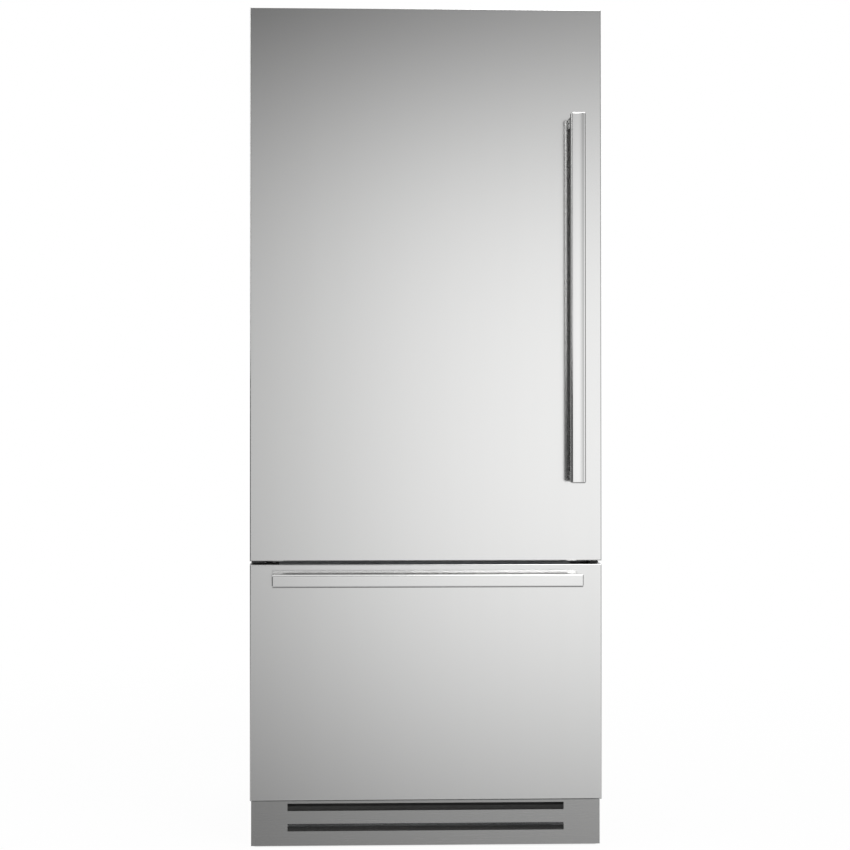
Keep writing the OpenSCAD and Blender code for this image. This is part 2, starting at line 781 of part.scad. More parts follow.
// Foam cores of the fronts
module front_core(z0, z1)
    block([-half_front + skin_t, front_y + skin_t, z0 + skin_t],
          [half_front - skin_t, seal_y - liner_t, z1 - skin_t]);
module door_core() color("wheat") difference() {
    front_core(door_z, unit_h);
    hinge_pocket(skin_t);
    bearing_space(pocket_z - skin_t - bearing.z, pocket_z);
    bearing_space(door_z, door_z + skin_t + bearing.z);
}
module drawer_core() color("wheat") front_core(drawer_z, drawer_top);

// Moulded inner panel of the door with the rib ring that carries the bins on ledges
module door_liner() color("white") {
    difference() {
        block([-half_front + skin_t, seal_y - liner_t, door_z + skin_t],
              [half_front - skin_t, seal_y, unit_h - skin_t]);
        hinge_pocket(skin_t);
    }
    from_front(seal_y, seal_y + rib_h) difference() {
        plate([-rib_out, rib_low], [rib_out, rib_top], 20);
        plate([-rib_out + rib_w, rib_low + rib_w - 4], [rib_out - rib_w, rib_top - rib_w + 4], 4);
    }
    both_sides() for (z = bin_z)
        block([bin_half - 9, seal_y, z - 12], [bin_half + 2, seal_y + rib_h - 6, z]);
}

// Inner panel of the drawer front with a low rib ring
module drawer_liner() color("white") {
    block([-half_front + skin_t, seal_y - liner_t, drawer_z + skin_t],
          [half_front - skin_t, seal_y, drawer_top - skin_t]);
    from_front(seal_y, seal_y + drawer_rib_h) difference() {
        plate([-drawer_rib_half, freezer_floor + 20], [drawer_rib_half, freezer_top - 20], 20);
        plate([-drawer_rib_half + 18, freezer_floor + 38], [drawer_rib_half - 18, freezer_top - 38], 6);
    }
}

// Magnetic seals, one ring on each front
module seal_ring(z0, z1) color("dimgray")
    from_front(seal_y, face_y - slide_fit) difference() {
        plate([-half_front + seal_inset, z0], [half_front - seal_inset, z1], 6);
        plate([-half_front + seal_inset + seal_w, z0 + seal_w],
              [half_front - seal_inset - seal_w, z1 - seal_w], 3);
    }
module door_seal() seal_ring(door_z + 14, cab_top - 8);
module drawer_seal() seal_ring(drawer_z + 14, drawer_top - 14);

// Handle bars and the posts that carry them at both ends
door_bar_x = half_front - door_bar_in - door_bar_w;
door_bar_z = door_z + door_bar_up;
drawer_bar_z = drawer_top - drawer_bar_down - drawer_bar_h;
module door_handle() color("silver")
    from_top(door_bar_z, door_bar_z + door_bar_l)
        plate([door_bar_x, bar_y], [door_bar_x + door_bar_w, bar_y + bar_d], bar_r);
module door_handle_posts() color("silver")
    for (z = [door_bar_z, door_bar_z + door_bar_l - post_l])
        from_front(bar_y + bar_d, front_y)
            plate([door_bar_x + (door_bar_w - post_w) / 2, z],
                  [door_bar_x + (door_bar_w + post_w) / 2, z + post_l], bar_r);
module drawer_handle() color("silver")
    from_side(-drawer_bar_l / 2, drawer_bar_l / 2)
        plate([bar_y, drawer_bar_z], [bar_y + bar_d, drawer_bar_z + drawer_bar_h], bar_r);
module drawer_handle_posts() color("silver")
    both_sides() from_front(bar_y + bar_d, front_y)
        plate([drawer_bar_l / 2 - post_l, drawer_bar_z + (drawer_bar_h - post_w) / 2],
              [drawer_bar_l / 2, drawer_bar_z + (drawer_bar_h + post_w) / 2], bar_r);

// Door bin: open tub with rounded front corners
module bin(z) difference() {
    y0 = seal_y + slide_fit;
    from_top(z, z + bin_h) plate([-bin_half, y0], [bin_half, seal_y + bin_d], 12);
    from_top(z + 3, z + bin_h + 1)
        plate([-bin_half + tub_t, y0 + tub_t], [bin_half - tub_t, seal_y + bin_d - tub_t], 9.5);
}
module lower_bin() color("lightcyan") bin(bin_z[0]);
module middle_bin() color("lightcyan") bin(bin_z[1]);

// Dairy bin: a bin with two ears that hold the lid's pins
module upper_bin() color("lightcyan") {
    bin(bin_z[2]);
    both_sides() difference() {
        from_side(bin_half - tub_t, bin_half) {
            translate([lid_y, lid_z]) circle(lid_pin_r + 4);
            translate([lid_y - lid_pin_r - 4, bin_z[2] + bin_h - 12])
                square([2 * lid_pin_r + 8, lid_z - bin_z[2] - bin_h + 12]);
        }
        rod_x(bin_half - tub_t - 1, bin_half + 1, lid_y, lid_z, lid_pin_r + run_fit);
    }
}

// Lid of the dairy bin, turning on a rod in the ears
module dairy_lid() color("lightcyan") {
    z0 = lid_z - lid_t + slide_fit;
    from_top(z0, z0 + lid_t)
        plate([-bin_half + tub_t + 1, lid_y - 1], [bin_half - tub_t - 1, seal_y + bin_d], 0.9);
    block([-60, seal_y + bin_d - 6, z0], [60, seal_y + bin_d, z0 + lid_t + 4]);
    rod_x(-bin_half + 0.5, bin_half - 0.5, lid_y, lid_z, lid_pin_r);
}

// Section of one runner member: a channel whose web is at x1 or, if flipped, at x0
module channel(x0, x1, h, flipped) difference() {
    translate([x0, -h / 2]) square([x1 - x0, h]);
    translate([flipped ? x0 + runner_t : x0 - 1, -h / 2 + runner_t])
        square([x1 - x0 + 1 - runner_t, h - 2 * runner_t]);
}

// Telescopic drawer runners of three nested channels a side
outer_x = half_room;
nest = runner_t + slide_fit;
module runner(x0, x1, h, flipped, y0) both_sides()
    translate([0, 0, runner_z]) from_front(y0, y0 + runner_l) channel(x0, x1, h, flipped);
module outer_runners() color("silver")
    runner(outer_x - runner_w, outer_x, runner_h, false, runner_y);
module middle_runners() color("silver")
    runner(outer_x - runner_w + 1, outer_x - nest, runner_h - 2 * nest, false, runner_y);
module inner_runners() color("silver") {
    runner(outer_x - runner_w - 1, outer_x - 2 * nest, runner_h - 4 * nest, true, runner_y);
    both_sides() {
        // ledge that the basket hangs on, and the foot that is screwed to the drawer front
        block([outer_x - runner_w - ledge_w, runner_y - 8, ledge_z],
              [outer_x - runner_w - 0.2, inner_end, ledge_z + ledge_t]);
        block([outer_x - runner_w - 1, seal_y, ledge_z - 26],
              [outer_x - runner_w + runner_t - 1, runner_y + 1, ledge_z + ledge_t]);
        block([half_room - 62, seal_y, runner_z - 36],
              [outer_x - runner_w + runner_t - 1, seal_y + ledge_t, runner_z + 36]);
    }
}

// Stepped freezer basket, hung by its rims on the inner runners
module freezer_basket() color("lightcyan") {
    y = basket_y;
    z = basket_z;
    difference() {
        from_side(-basket_half, basket_half) polygon([
            [y[0], z[0]], [y[1], z[0]], [y[1], z[1]], [y[2], z[1]], [y[2], z[2]], [y[0], z[2]]
        ]);
        from_side(-basket_half + tub_t, basket_half - tub_t) polygon([
            [y[0] + tub_t, z[0] + 3], [y[1] - tub_t, z[0] + 3], [y[1] - tub_t, z[1] + 3],
            [y[2] - tub_t, z[1] + 3], [y[2] - tub_t, z[2] + 1], [y[0] + tub_t, z[2] + 1]
        ]);
    }
    both_sides() block([basket_half - 1, y[0], rim_z],
                       [outer_x - runner_w - 1.2, y[2], rim_z + tub_t]);
}

// Tray that slides front to back on the rims of the basket
module freezer_tray() color("lightcyan") {
    half = basket_half - 6;
    z1 = rim_z + tub_t + slide_fit;
    difference() {
        from_top(z1 - tray_h + 10, z1 + 10)
            plate([-half, tray_y - tray_d], [half, tray_y], 14);
        from_top(z1 - tray_h + 13, z1 + 11)
            plate([-half + tub_t, tray_y - tray_d + tub_t], [half - tub_t, tray_y - tub_t], 11.5);
    }
    both_sides() block([half - 1, tray_y - tray_d + 20, z1],
                       [outer_x - runner_w - 2, tray_y - 20, z1 + tub_t]);
}

// Finned tube heat exchanger from low corner a to high corner b, with its tubes along X
module finned_coil(a, b, columns, rows, foot) {
    dy = (b.y - a.y) / columns;
    dz = (b.z - a.z) / rows;
    end = dz / 2 + tube_r + 1;
    for (i = [0 : fins - 1]) {
        x = a.x + end + i * (b.x - a.x - 2 * end) / (fins - 1);
        drop = i == 0 || i == fins - 1 ? foot : 0;
        block([x - fin_t / 2, a.y, a.z - drop], [x + fin_t / 2, b.y, b.z]);
    }
    for (c = [0 : columns - 1], r = [0 : rows - 1])
        rod_x(a.x + end, b.x - end, a.y + dy * (c + 0.5), a.z + dz * (r + 0.5), tube_r);
    for (c = [0 : columns - 1], r = [0 : rows - 2])
        translate([r % 2 == 0 ? b.x - end : a.x + end, a.y + dy * (c + 0.5), a.z + dz * (r + 1)])
            rotate([0, 90, 0]) rotate([90, 0, 0]) rotate([0, 0, r % 2 == 0 ? 0 : 180])
                rotate_extrude(angle = 180) translate([dz / 2, 0]) circle(tube_r);
}
module evaporator() color("lightgray")
    finned_coil([-evap_half, cover_y + 12, step_z + evap_up],
                [evap_half, room_back - 6, freezer_fan_z - freezer_fan_r - 18], 2, 4, evap_up);
module condenser() color("dimgray")
    finned_coil([coil_x[0], coil_y, coil_z], [coil_x[1], coil_y + coil_d, coil_z + coil_h], 3, 6,
                coil_z - pan_z);

// Axial fan about Z: hub and pitched blades
module fan(r, hub_r, h, blades) {
    difference() {
        cylinder(r = hub_r, h = h);
        translate([0, 0, h - shaft_l]) cylinder(r = shaft_r + run_fit, h = shaft_l + 1);
    }
    for (i = [0 : blades - 1]) rotate([0, 0, 360 / blades * i])
        intersection() {
            translate([0, 0, h / 2]) rotate([32, 0, 0])
                block([hub_r - 3, -r * 0.34, -0.9], [r + 5, r * 0.34, 0.9]);
            cylinder(r = r, h = h);
        }
}

// Fan motor about Z: a can with a shaft that points back to the fan below it
module motor(r, l) {
    cylinder(r = r, h = l);
    translate([0, 0, -motor_gap - shaft_l + 1]) cylinder(r = shaft_r, h = motor_gap + shaft_l);
}

// Cover in front of the evaporator with the fan's nozzle, motor bracket and air slots
module evaporator_cover() color("whitesmoke") {
    nozzle_end = cover_y + fan_h + 6;
    motor_y = cover_y + 1 + fan_h + motor_gap;
    difference() {
        union() {
            from_front(cover_y, cover_y + liner_t) difference() {
                plate([-half_room + 0.5, step_z - liner_r], [half_room - 0.5, freezer_top - 0.5],
                      liner_r - 0.5);
                translate([-half_room, step_z - 2 * liner_r])
                    square([2 * half_room, 2 * liner_r + 0.3]);
            }
            rod_y(0, cover_y, nozzle_end, freezer_fan_z, freezer_fan_r + blade_gap + liner_t);
        }
        rod_y(0, cover_y - 1, nozzle_end + 1, freezer_fan_z, freezer_fan_r + blade_gap);
        for (x = [-300 : 60 : 250], z = [step_z + 20, step_z + 36])
            block([x, cover_y - 1, z], [x + 44, cover_y + 5, z + 7]);
    }
    translate([0, motor_y, freezer_fan_z]) rotate([-90, 0, 0]) motor(19, motor_l);
    for (a = [45 : 90 : 315]) translate([0, 0, freezer_fan_z]) rotate([0, a, 0])
        block([16, nozzle_end - 2, -2.5],
              [freezer_fan_r + blade_gap + liner_t - 1, nozzle_end + 4, 2.5]);
}
module freezer_fan() color("dimgray")
    translate([0, cover_y + 1, freezer_fan_z]) rotate([-90, 0, 0]) fan(freezer_fan_r, 17, fan_h, 6);

// Compressor: welded can on a foot plate, with two pipe stubs
can_foot = [100, 62];
module compressor() color("black") {
    translate([can_x, can_y, can_z]) {
        rotate_extrude() {
            square([compressor_r - 40, can_h]);
            translate([0, 40]) square([compressor_r, can_h - 80]);
            for (z = [40, can_h - 40]) translate([compressor_r - 40, z]) intersection() {
                circle(40);
                translate([-compressor_r + 40, -50]) square([100, 100]);
            }
        }
        rotate_extrude() translate([0, can_h / 2 - 4]) square([compressor_r + 3, 8]);
        difference() {
            from_top(-3, 1) plate(-can_foot - [14, 14], can_foot + [14, 14], 12);
            for (x = [-1, 1], y = [-1, 1])
                rod_z(x * can_foot.x, y * can_foot.y, -4, 2, 6 + run_fit);
        }
        for (a = [20, 60]) rotate([0, 0, a]) rod_x(compressor_r - 4, compressor_r + 24, 0, 60, tube_r);
    }
}

// Rubber feet between the compressor and the pan
module compressor_feet() color("dimgray")
    for (x = [-1, 1], y = [-1, 1])
        translate([can_x + x * can_foot.x, can_y + y * can_foot.y, pan_z]) rotate_extrude() polygon([
            [0, 0], [11, 0], [9, can_z - 3 - pan_z], [6, can_z - 3 - pan_z],
            [6, can_z + 1 - pan_z], [9, can_z + 1 - pan_z], [8, can_z + 4 - pan_z], [0, can_z + 4 - pan_z]
        ]);

// Square housing of the condenser fan with its nozzle and motor
module fan_housing() color("dimgray") {
    half = condenser_fan_r + 15;
    difference() {
        from_side(fan_x - 12, fan_x + 12)
            translate([fan_y, fan_z]) plate([-half, pan_z - fan_z], [half, half], 6);
        rod_x(fan_x - 13, fan_x + 13, fan_y, fan_z, condenser_fan_r + blade_gap);
    }
    translate([fan_x - fan_h / 2 - motor_gap, fan_y, fan_z]) rotate([0, -90, 0]) motor(26, motor_l);
    for (a = [45 : 90 : 315]) translate([0, fan_y, fan_z]) rotate([a, 0, 0])
        block([fan_x - fan_h / 2 - motor_gap - 6, -3, 22],
              [fan_x - fan_h / 2 - 1.5, 3, condenser_fan_r + blade_gap + 8]);
}
module condenser_fan() color("black")
    translate([fan_x + fan_h / 2, fan_y, fan_z]) rotate([0, -90, 0])
        fan(condenser_fan_r, 28, fan_h, 5);

// Tray on the compressor where defrost water dries off
module drip_tray() color("black") {
    z0 = can_z + can_h;
    translate([can_x, can_y, z0]) difference() {
        from_top(0, 30) plate([-120, -90], [120, 90], 16);
        from_top(2.5, 31) plate([-117.5, -87.5], [117.5, 87.5], 13.5);
    }
}

cabinet_shell();
insulation();
fridge_liner();
freezer_liner();
mullion();
back_panel();
rear_cover();
base_frame();
levelling_legs();
plinth();
fixing_rail();
top_hinge();
lower_hinge();
hinge_screws();
gap_cap();
control_panel();
light_bars();
air_duct();
shelf_tracks();
lower_shelf();
middle_shelf();
upper_shelf();
shelf_panes();
crisper_frame();
crisper_cover();
left_crisper();
right_crisper();
door_skin();
door_core();
door_liner();
door_seal();
hinge_bearings();
door_handle();
door_handle_posts();
lower_bin();
middle_bin();
upper_bin();
dairy_lid();
drawer_skin();
drawer_core();
drawer_liner();
drawer_seal();
drawer_handle();
drawer_handle_posts();
outer_runners();
middle_runners();
inner_runners();
freezer_basket();
freezer_tray();
evaporator();
evaporator_cover();
freezer_fan();
compressor();
compressor_feet();
condenser();
fan_housing();
condenser_fan();
drip_tray();
left_roller();
right_roller();
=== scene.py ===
"""Looks of a tall built-in refrigerator with a freezer drawer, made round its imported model.

Metres, in the model's own frame: X to the right, -Y to the front, Z up from the floor.
"""
import math

import bmesh
import bpy
from mathutils import Euler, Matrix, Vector


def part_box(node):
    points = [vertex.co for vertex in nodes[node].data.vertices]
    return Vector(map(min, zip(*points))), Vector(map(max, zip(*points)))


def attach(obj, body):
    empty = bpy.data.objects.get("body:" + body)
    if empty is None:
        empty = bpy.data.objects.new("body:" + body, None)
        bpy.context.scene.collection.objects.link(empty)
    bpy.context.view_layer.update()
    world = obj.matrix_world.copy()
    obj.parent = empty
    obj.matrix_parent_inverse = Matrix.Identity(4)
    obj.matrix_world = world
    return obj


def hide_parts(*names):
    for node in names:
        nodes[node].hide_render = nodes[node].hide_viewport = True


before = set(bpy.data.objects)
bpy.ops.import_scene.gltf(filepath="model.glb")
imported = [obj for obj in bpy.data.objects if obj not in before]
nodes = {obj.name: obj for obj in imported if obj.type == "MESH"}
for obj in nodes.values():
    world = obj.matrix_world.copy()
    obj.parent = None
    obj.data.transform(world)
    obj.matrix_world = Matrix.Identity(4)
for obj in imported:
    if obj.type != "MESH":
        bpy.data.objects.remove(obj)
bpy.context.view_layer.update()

# --- Camera -----------------------------------------------------------------------------
# It stands a little left of the middle at chest height and looks almost straight in. The
# lens is shifted, so the upright edges of the tall fronts stay parallel in the picture.
scene = bpy.context.scene
camera = bpy.data.objects.new("camera", bpy.data.cameras.new("camera"))
camera.data.sensor_width = 36.0
camera.data.lens = 65.40
camera.data.shift_x = 0.0838
camera.data.shift_y = -0.0269
camera.location = (-0.2934, -4.2052, 1.0976)
camera.rotation_euler = Euler((math.radians(90.472), 0.0, math.radians(-1.593)))
scene.collection.objects.link(camera)
scene.camera = camera
scene.view_settings.view_transform = "Standard"

# --- Studio -----------------------------------------------------------------------------
# A white room: plain white to the eye and through glass. What the steel mirrors is one tall
# soft window behind the camera, a little to the right, that fades up, down and to the sides.


def add(tree, kind, out=0, props=None, **inputs):
    """Adds a node, sets its properties and inputs and returns one of its outputs.

    An input goes by its label, with _ for a space, or by its number as i0, i1 and so on.
    """
    made = tree.nodes.new(kind)
    for key, value in (props or {}).items():
        setattr(made, key, value)
    for key, value in inputs.items():
        numbered = key[0] == "i" and key[1:].isdigit()
        socket = made.inputs[int(key[1:]) if numbered else key.replace("_", " ")]
        if isinstance(value, bpy.types.NodeSocket):
            tree.links.new(value, socket)
        else:
            socket.default_value = value
    return made.outputs[out]


def chain(tree, operation, *values):
    """Joins values, first to last, by one kind of Math node."""
    total = values[0]
    for value in values[1:]:
        total = add(tree, "ShaderNodeMath", 0, {"operation": operation}, i0=total, i1=value)
    return total


def single(tree, operation, value):
    """Runs one value through a Math node."""
    return add(tree, "ShaderNodeMath", 0, {"operation": operation}, i0=value)


def off_from(tree, value, middle):
    """How far a value lies to either side of a middle."""
    return single(tree, "ABSOLUTE", chain(tree, "SUBTRACT", value, middle))


def axes(tree, where):
    """The X, Y and Z of a vector."""
    parts = tree.nodes.new("ShaderNodeSeparateXYZ")
    tree.links.new(where, parts.inputs[0])
    return parts.outputs


def off_axis(tree, x, y):
    """The distance from the upright axis."""
    return single(tree, "SQRT", chain(tree, "ADD", chain(tree, "MULTIPLY", x, x),
                                      chain(tree, "MULTIPLY", y, y)))


def end_with(tree, kind, socket, result):
    """Links a result to a new output node of the tree."""
    tree.links.new(result, tree.nodes.new(kind).inputs[socket])


world = bpy.data.worlds.new("studio")
scene.world = world
world.use_nodes = True
air = world.node_tree
air.nodes.clear()
rays = air.nodes.new("ShaderNodeLightPath").outputs
aside, ahead, up = axes(air, add(air, "ShaderNodeTexCoord"))
window_x, window_z, window_level = 0.1814, -0.0227, 1.38
# how far the window reaches to each side before it fades, and how sharply
spread = {"left": (0.293, 2.0), "right": (0.90, 2.0), "up": (0.266, 3.6), "down": (0.267, 2.35)}
left_level, right_level, top_level, low_level, back_level = 0.20, 0.16, 1.6, 0.12, 0.35
# matt surfaces get one even level from all round; the rest is only for what mirrors
matt_level, floor_level = 0.62, 0.80
off_x = chain(air, "SUBTRACT", aside, window_x)
off_z = chain(air, "SUBTRACT", up, window_z)
falls = []
for side, off, sign in (("left", off_x, -1.0), ("right", off_x, 1.0), ("up", off_z, 1.0),
                        ("down", off_z, -1.0)):
    width, power = spread[side]
    share = chain(air, "MAXIMUM", chain(air, "MULTIPLY", off, sign / width), 0.0)
    falls.append(chain(air, "POWER", share, power))
fall = chain(air, "MULTIPLY", chain(air, "ADD", *falls), -1.0)
window = chain(air, "MULTIPLY", single(air, "EXPONENT", fall), window_level)


def toward(value, start, end, level, rest):
    """Blends the level into the rest of the room as value runs from start to end."""
    share = add(air, "ShaderNodeMapRange", 0, {"interpolation_type": "SMOOTHSTEP"},
                Value=value, From_Min=start, From_Max=end)
    return add(air, "ShaderNodeMix", Factor=share, A=rest, B=level)


room = add(air, "ShaderNodeMapRange", Value=aside, From_Min=-0.5, From_Max=0.5,
           To_Min=left_level, To_Max=right_level)
room = toward(ahead, -0.1, 0.3, back_level, room)
room = toward(up, 0.35, 0.80, top_level, room)
room = toward(up, -0.30, -0.70, low_level, room)
mirrored = toward(ahead, -0.50, -0.88, window, room)
# farther down, and sooner off to either side, the steel mirrors the white floor
beside = toward(off_from(air, aside, 0.07), 0.30, 0.50, 1.0, 0.0)
low_floor = toward(up, -0.36, -0.50, floor_level, mirrored)
side_floor = toward(up, -0.08, -0.24, floor_level, mirrored)
mirrored = add(air, "ShaderNodeMix", Factor=beside, A=low_floor, B=side_floor)
mirrored = toward(up, -0.70, -0.85, low_level, mirrored)
lighting = add(air, "ShaderNodeMix", Factor=rays["Is Glossy Ray"], A=matt_level, B=mirrored)
seen = chain(air, "MAXIMUM", rays["Is Camera Ray"], rays["Is Transmission Ray"])
level = add(air, "ShaderNodeMix", Factor=seen, A=lighting, B=1.0)
sky = add(air, "ShaderNodeBackground", Color=(1.0, 1.0, 1.0, 1.0), Strength=level)
end_with(air, "ShaderNodeOutputWorld", "Surface", sky)

# the floor is matt and white to the eye, quite white from three metres on, but dark under the
# cabinet, where no light gets in; in the steel the room takes its place
reach = 40.0
floor_mesh = bpy.data.meshes.new("floor")
floor_mesh.from_pydata([(-reach, -reach, 0), (reach, -reach, 0), (reach, reach, 0),
                        (-reach, reach, 0)], [], [(0, 1, 2, 3)])
floor = bpy.data.objects.new("floor", floor_mesh)
scene.collection.objects.link(floor)
floor.visible_glossy = False
paper = bpy.data.materials.new("floor_paper")
paper.use_nodes = True
tree = paper.node_tree
tree.nodes.clear()
rays = tree.nodes.new("ShaderNodeLightPath").outputs
seen = chain(tree, "MAXIMUM", rays["Is Camera Ray"], rays["Is Transmission Ray"])
x, y, _ = axes(tree, add(tree, "ShaderNodeTexCoord", 3))
shade_half_x, shade_half_y, shade_middle_y, shade_edge = 0.440, 0.300, 0.030, 0.02
near, quite_white, near_white = 1.2, 3.0, 0.96
free = [add(tree, "ShaderNodeMapRange", Value=off_from(tree, value, middle),
            From_Min=half - shade_edge, From_Max=half)
        for value, half, middle in ((x, shade_half_x, 0.0), (y, shade_half_y, shade_middle_y))]
open_floor = chain(tree, "MAXIMUM", *free)
far = add(tree, "ShaderNodeMapRange", Value=off_axis(tree, x, y), From_Min=near,
          From_Max=quite_white, To_Min=near_white, To_Max=1.0)
matt = add(tree, "ShaderNodeBsdfDiffuse", Color=(0.88, 0.88, 0.88, 1.0))
white = add(tree, "ShaderNodeEmission", Color=(1.0, 1.0, 1.0, 1.0), Strength=1.0)
end_with(tree, "ShaderNodeOutputMaterial", "Surface",
         add(tree, "ShaderNodeMixShader", i0=chain(tree, "MULTIPLY", seen, open_floor, far),
             i1=matt, i2=white))
floor_mesh.materials.append(paper)


def soft_lamp(name, place, target, width, height, power):
    """A soft area lamp at a place, turned to a target."""
    data = bpy.data.lights.new(name, "AREA")
    data.shape = "RECTANGLE"
    data.size, data.size_y, data.energy = width, height, power
    made = bpy.data.objects.new(name, data)
    made.location = place
    made.rotation_euler = (Vector(target) - Vector(place)).to_track_quat("-Z", "Y").to_euler()
    scene.collection.objects.link(made)


soft_lamp("top_lamp", (1.6, -2.6, 4.6), (0, 0, 1.0), 2.4, 2.4, 80)
soft_lamp("left_lamp", (-4.4, -1.6, 2.6), (0, 0, 1.0), 2.0, 2.6, 40)
soft_lamp("rear_lamp", (1.2, 4.8, 3.0), (0, 0, 1.2), 2.6, 2.6, 75)

# --- Base frame -------------------------------------------------------------------------
# The frame under the cabinet is folded from 2 mm steel sheet and spot-welded: two side rails,
# a front beam, the pan that carries the machinery and two forks for the rear rollers. It is
# powder-coated black, which leaves a fine orange peel, and dust settles on what lies flat.


def finish(name, colour, roughness, metallic=0.0, **sockets):
    """A Principled material; returns it, its tree, its shader and the Object coordinates."""
    made = bpy.data.materials.new(name)
    made.use_nodes = True
    tree = made.node_tree
    shader = tree.nodes["Principled BSDF"]
    shader.inputs["Base Color"].default_value = (*colour, 1.0)
    shader.inputs["Roughness"].default_value = roughness
    shader.inputs["Metallic"].default_value = metallic
    for key, value in sockets.items():
        shader.inputs[key.replace("_", " ")].default_value = value
    return made, tree, shader, add(tree, "ShaderNodeTexCoord", 3)


def speckle(tree, where, scale, detail=2.0, stretch=(1.0, 1.0, 1.0), roughness=0.5):
    """Noise on Object coordinates, scale spots to the metre, drawn out by stretch."""
    placed = add(tree, "ShaderNodeMapping", Vector=where, Scale=stretch)
    return add(tree, "ShaderNodeTexNoise", Vector=placed, Scale=scale, Detail=detail,
               Roughness=roughness)


def vary(tree, shader, pattern, socket, low, high, between=(0.3, 0.7)):
    """Runs one of the shader's sockets from low to high with a pattern."""
    ranged = add(tree, "ShaderNodeMapRange", Value=pattern, From_Min=between[0],
                 From_Max=between[1], To_Min=low, To_Max=high)
    tree.links.new(ranged, shader.inputs[socket])


def tint(tree, shader, pattern, dark, light, between=(0.3, 0.7)):
    """Runs the base colour from dark to light with a pattern."""
    share = add(tree, "ShaderNodeMapRange", Value=pattern, From_Min=between[0],
                From_Max=between[1])
    mixed = add(tree, "ShaderNodeMix", 2, {"data_type": "RGBA"}, Factor=share,
                i6=(*dark, 1.0), i7=(*light, 1.0))
    tree.links.new(mixed, shader.inputs["Base Color"])


def relief(tree, shader, pattern, depth, strength=1.0):
    """Bump with the pattern's real depth in metres."""
    bump = add(tree, "ShaderNodeBump", Height=pattern, Distance=depth, Strength=strength)
    tree.links.new(bump, shader.inputs["Normal"])


def rub(tree, shader, radius, pale):
    """Lightens the colour along sharp edges, where paint or plating rubs thin."""
    soft = add(tree, "ShaderNodeBevel", 0, {"samples": 4}, Radius=radius)
    face = add(tree, "ShaderNodeNewGeometry", 1)
    along = add(tree, "ShaderNodeVectorMath", 1, {"operation": "DOT_PRODUCT"}, i0=soft, i1=face)
    edge = add(tree, "ShaderNodeMapRange", Value=along, From_Min=0.98, From_Max=0.88)
    mixed = add(tree, "ShaderNodeMix", 2, {"data_type": "RGBA"}, Factor=edge, i7=(*pale, 1.0))
    tree.links.new(shader.inputs["Base Color"].links[0].from_socket, mixed.node.inputs[6])
    tree.links.new(mixed, shader.inputs["Base Color"])


def dress(material, *names):
    """Gives carried-over model nodes a material."""
    for name in names:
        for one in nodes[name].material_slots:
            one.material = material


black_paint, tree, shader, where = finish("black_paint", (0.022, 0.022, 0.023), 0.42,
                                          Coat_Weight=0.15, Coat_Roughness=0.3)
relief(tree, shader, speckle(tree, where, 700, 1.0), 0.00006)
dust = speckle(tree, where, 7, 5.0)
tint(tree, shader, dust, (0.018, 0.018, 0.019), (0.036, 0.035, 0.033))
vary(tree, shader, dust, "Roughness", 0.36, 0.58)
rub(tree, shader, 0.0012, (0.075, 0.075, 0.076))
dress(black_paint, "base_frame")

# --- Levelling legs ---------------------------------------------------------------------
# Two M12 screws with hexagon nuts and pressed steel feet carry the front of the cabinet and
# are turned from below. They are cold-formed and zinc-plated, so the shine is cloudy.
zinc, tree, shader, where = finish("zinc_plate", (0.62, 0.63, 0.64), 0.34, 1.0)
cloud = speckle(tree, where, 60, 4.0)
tint(tree, shader, cloud, (0.52, 0.53, 0.55), (0.68, 0.68, 0.67))
vary(tree, shader, cloud, "Roughness", 0.27, 0.46)
relief(tree, shader, speckle(tree, where, 1500, 1.0), 0.00002)
dress(zinc, "levelling_legs")

# --- Rear rollers -----------------------------------------------------------------------
# Grey nylon wheels on steel axles let the cabinet roll into its niche. They are injection-
# moulded, dull on the tread where they have run and a little shinier on the flanks.
nylon, tree, shader, where = finish("grey_nylon", (0.13, 0.135, 0.14), 0.5)
wear = speckle(tree, where, 90, 4.0)
tint(tree, shader, wear, (0.10, 0.105, 0.11), (0.20, 0.20, 0.205))
vary(tree, shader, wear, "Roughness", 0.42, 0.66)
relief(tree, shader, speckle(tree, where, 1800, 2.0), 0.00004)
dress(nylon, "left_roller", "right_roller")

# --- Casing and mullion -----------------------------------------------------------------
# The casing is pre-painted steel sheet, folded into sides, roof, floor and the face frame
# that the seals close on. The mullion is the strip of the same sheet across the gap between
# the fronts. The satin grey paint is rolled on, so it has a very shallow, upright ripple.
grey_paint, tree, shader, where = finish("grey_paint", (0.27, 0.28, 0.285), 0.34, 0.6)
relief(tree, shader, speckle(tree, where, 420, 2.0, (1.0, 1.0, 0.35)), 0.00005)
smudge = speckle(tree, where, 3.2, 5.0)
tint(tree, shader, smudge, (0.255, 0.265, 0.27), (0.29, 0.30, 0.305))
vary(tree, shader, smudge, "Roughness", 0.33, 0.45)
rub(tree, shader, 0.0008, (0.40, 0.41, 0.415))
dress(grey_paint, "cabinet_shell", "mullion")

# --- Foam -------------------------------------------------------------------------------
# Polyurethane foam is poured between casing and liners and inside both fronts, where it
# swells, fills the space and glues skin to liner. It is cream, with small closed cells.
foam, tree, shader, where = finish("cream_foam", (0.78, 0.67, 0.42), 0.85)
cells = add(tree, "ShaderNodeTexVoronoi", Vector=where, Scale=260.0)
relief(tree, shader, cells, 0.0006)
tint(tree, shader, speckle(tree, where, 14, 4.0), (0.70, 0.58, 0.34), (0.84, 0.74, 0.50))
dress(foam, "insulation", "door_core", "drawer_core")

# --- Rear panel, rear cover and fixing rail ---------------------------------------------
# The back is closed by galvanised sheet with four upright swages, and below it by a cover
# with louvres, both held by hexagon-head sheet screws to the casing and the base frame. The
# rail that ties the cabinet to the niche is the same sheet, folded.


def within(tree, value, low, high):
    """One where a value lies between low and high, else zero."""
    return chain(tree, "MULTIPLY", chain(tree, "GREATER_THAN", value, low),
                 chain(tree, "LESS_THAN", value, high))


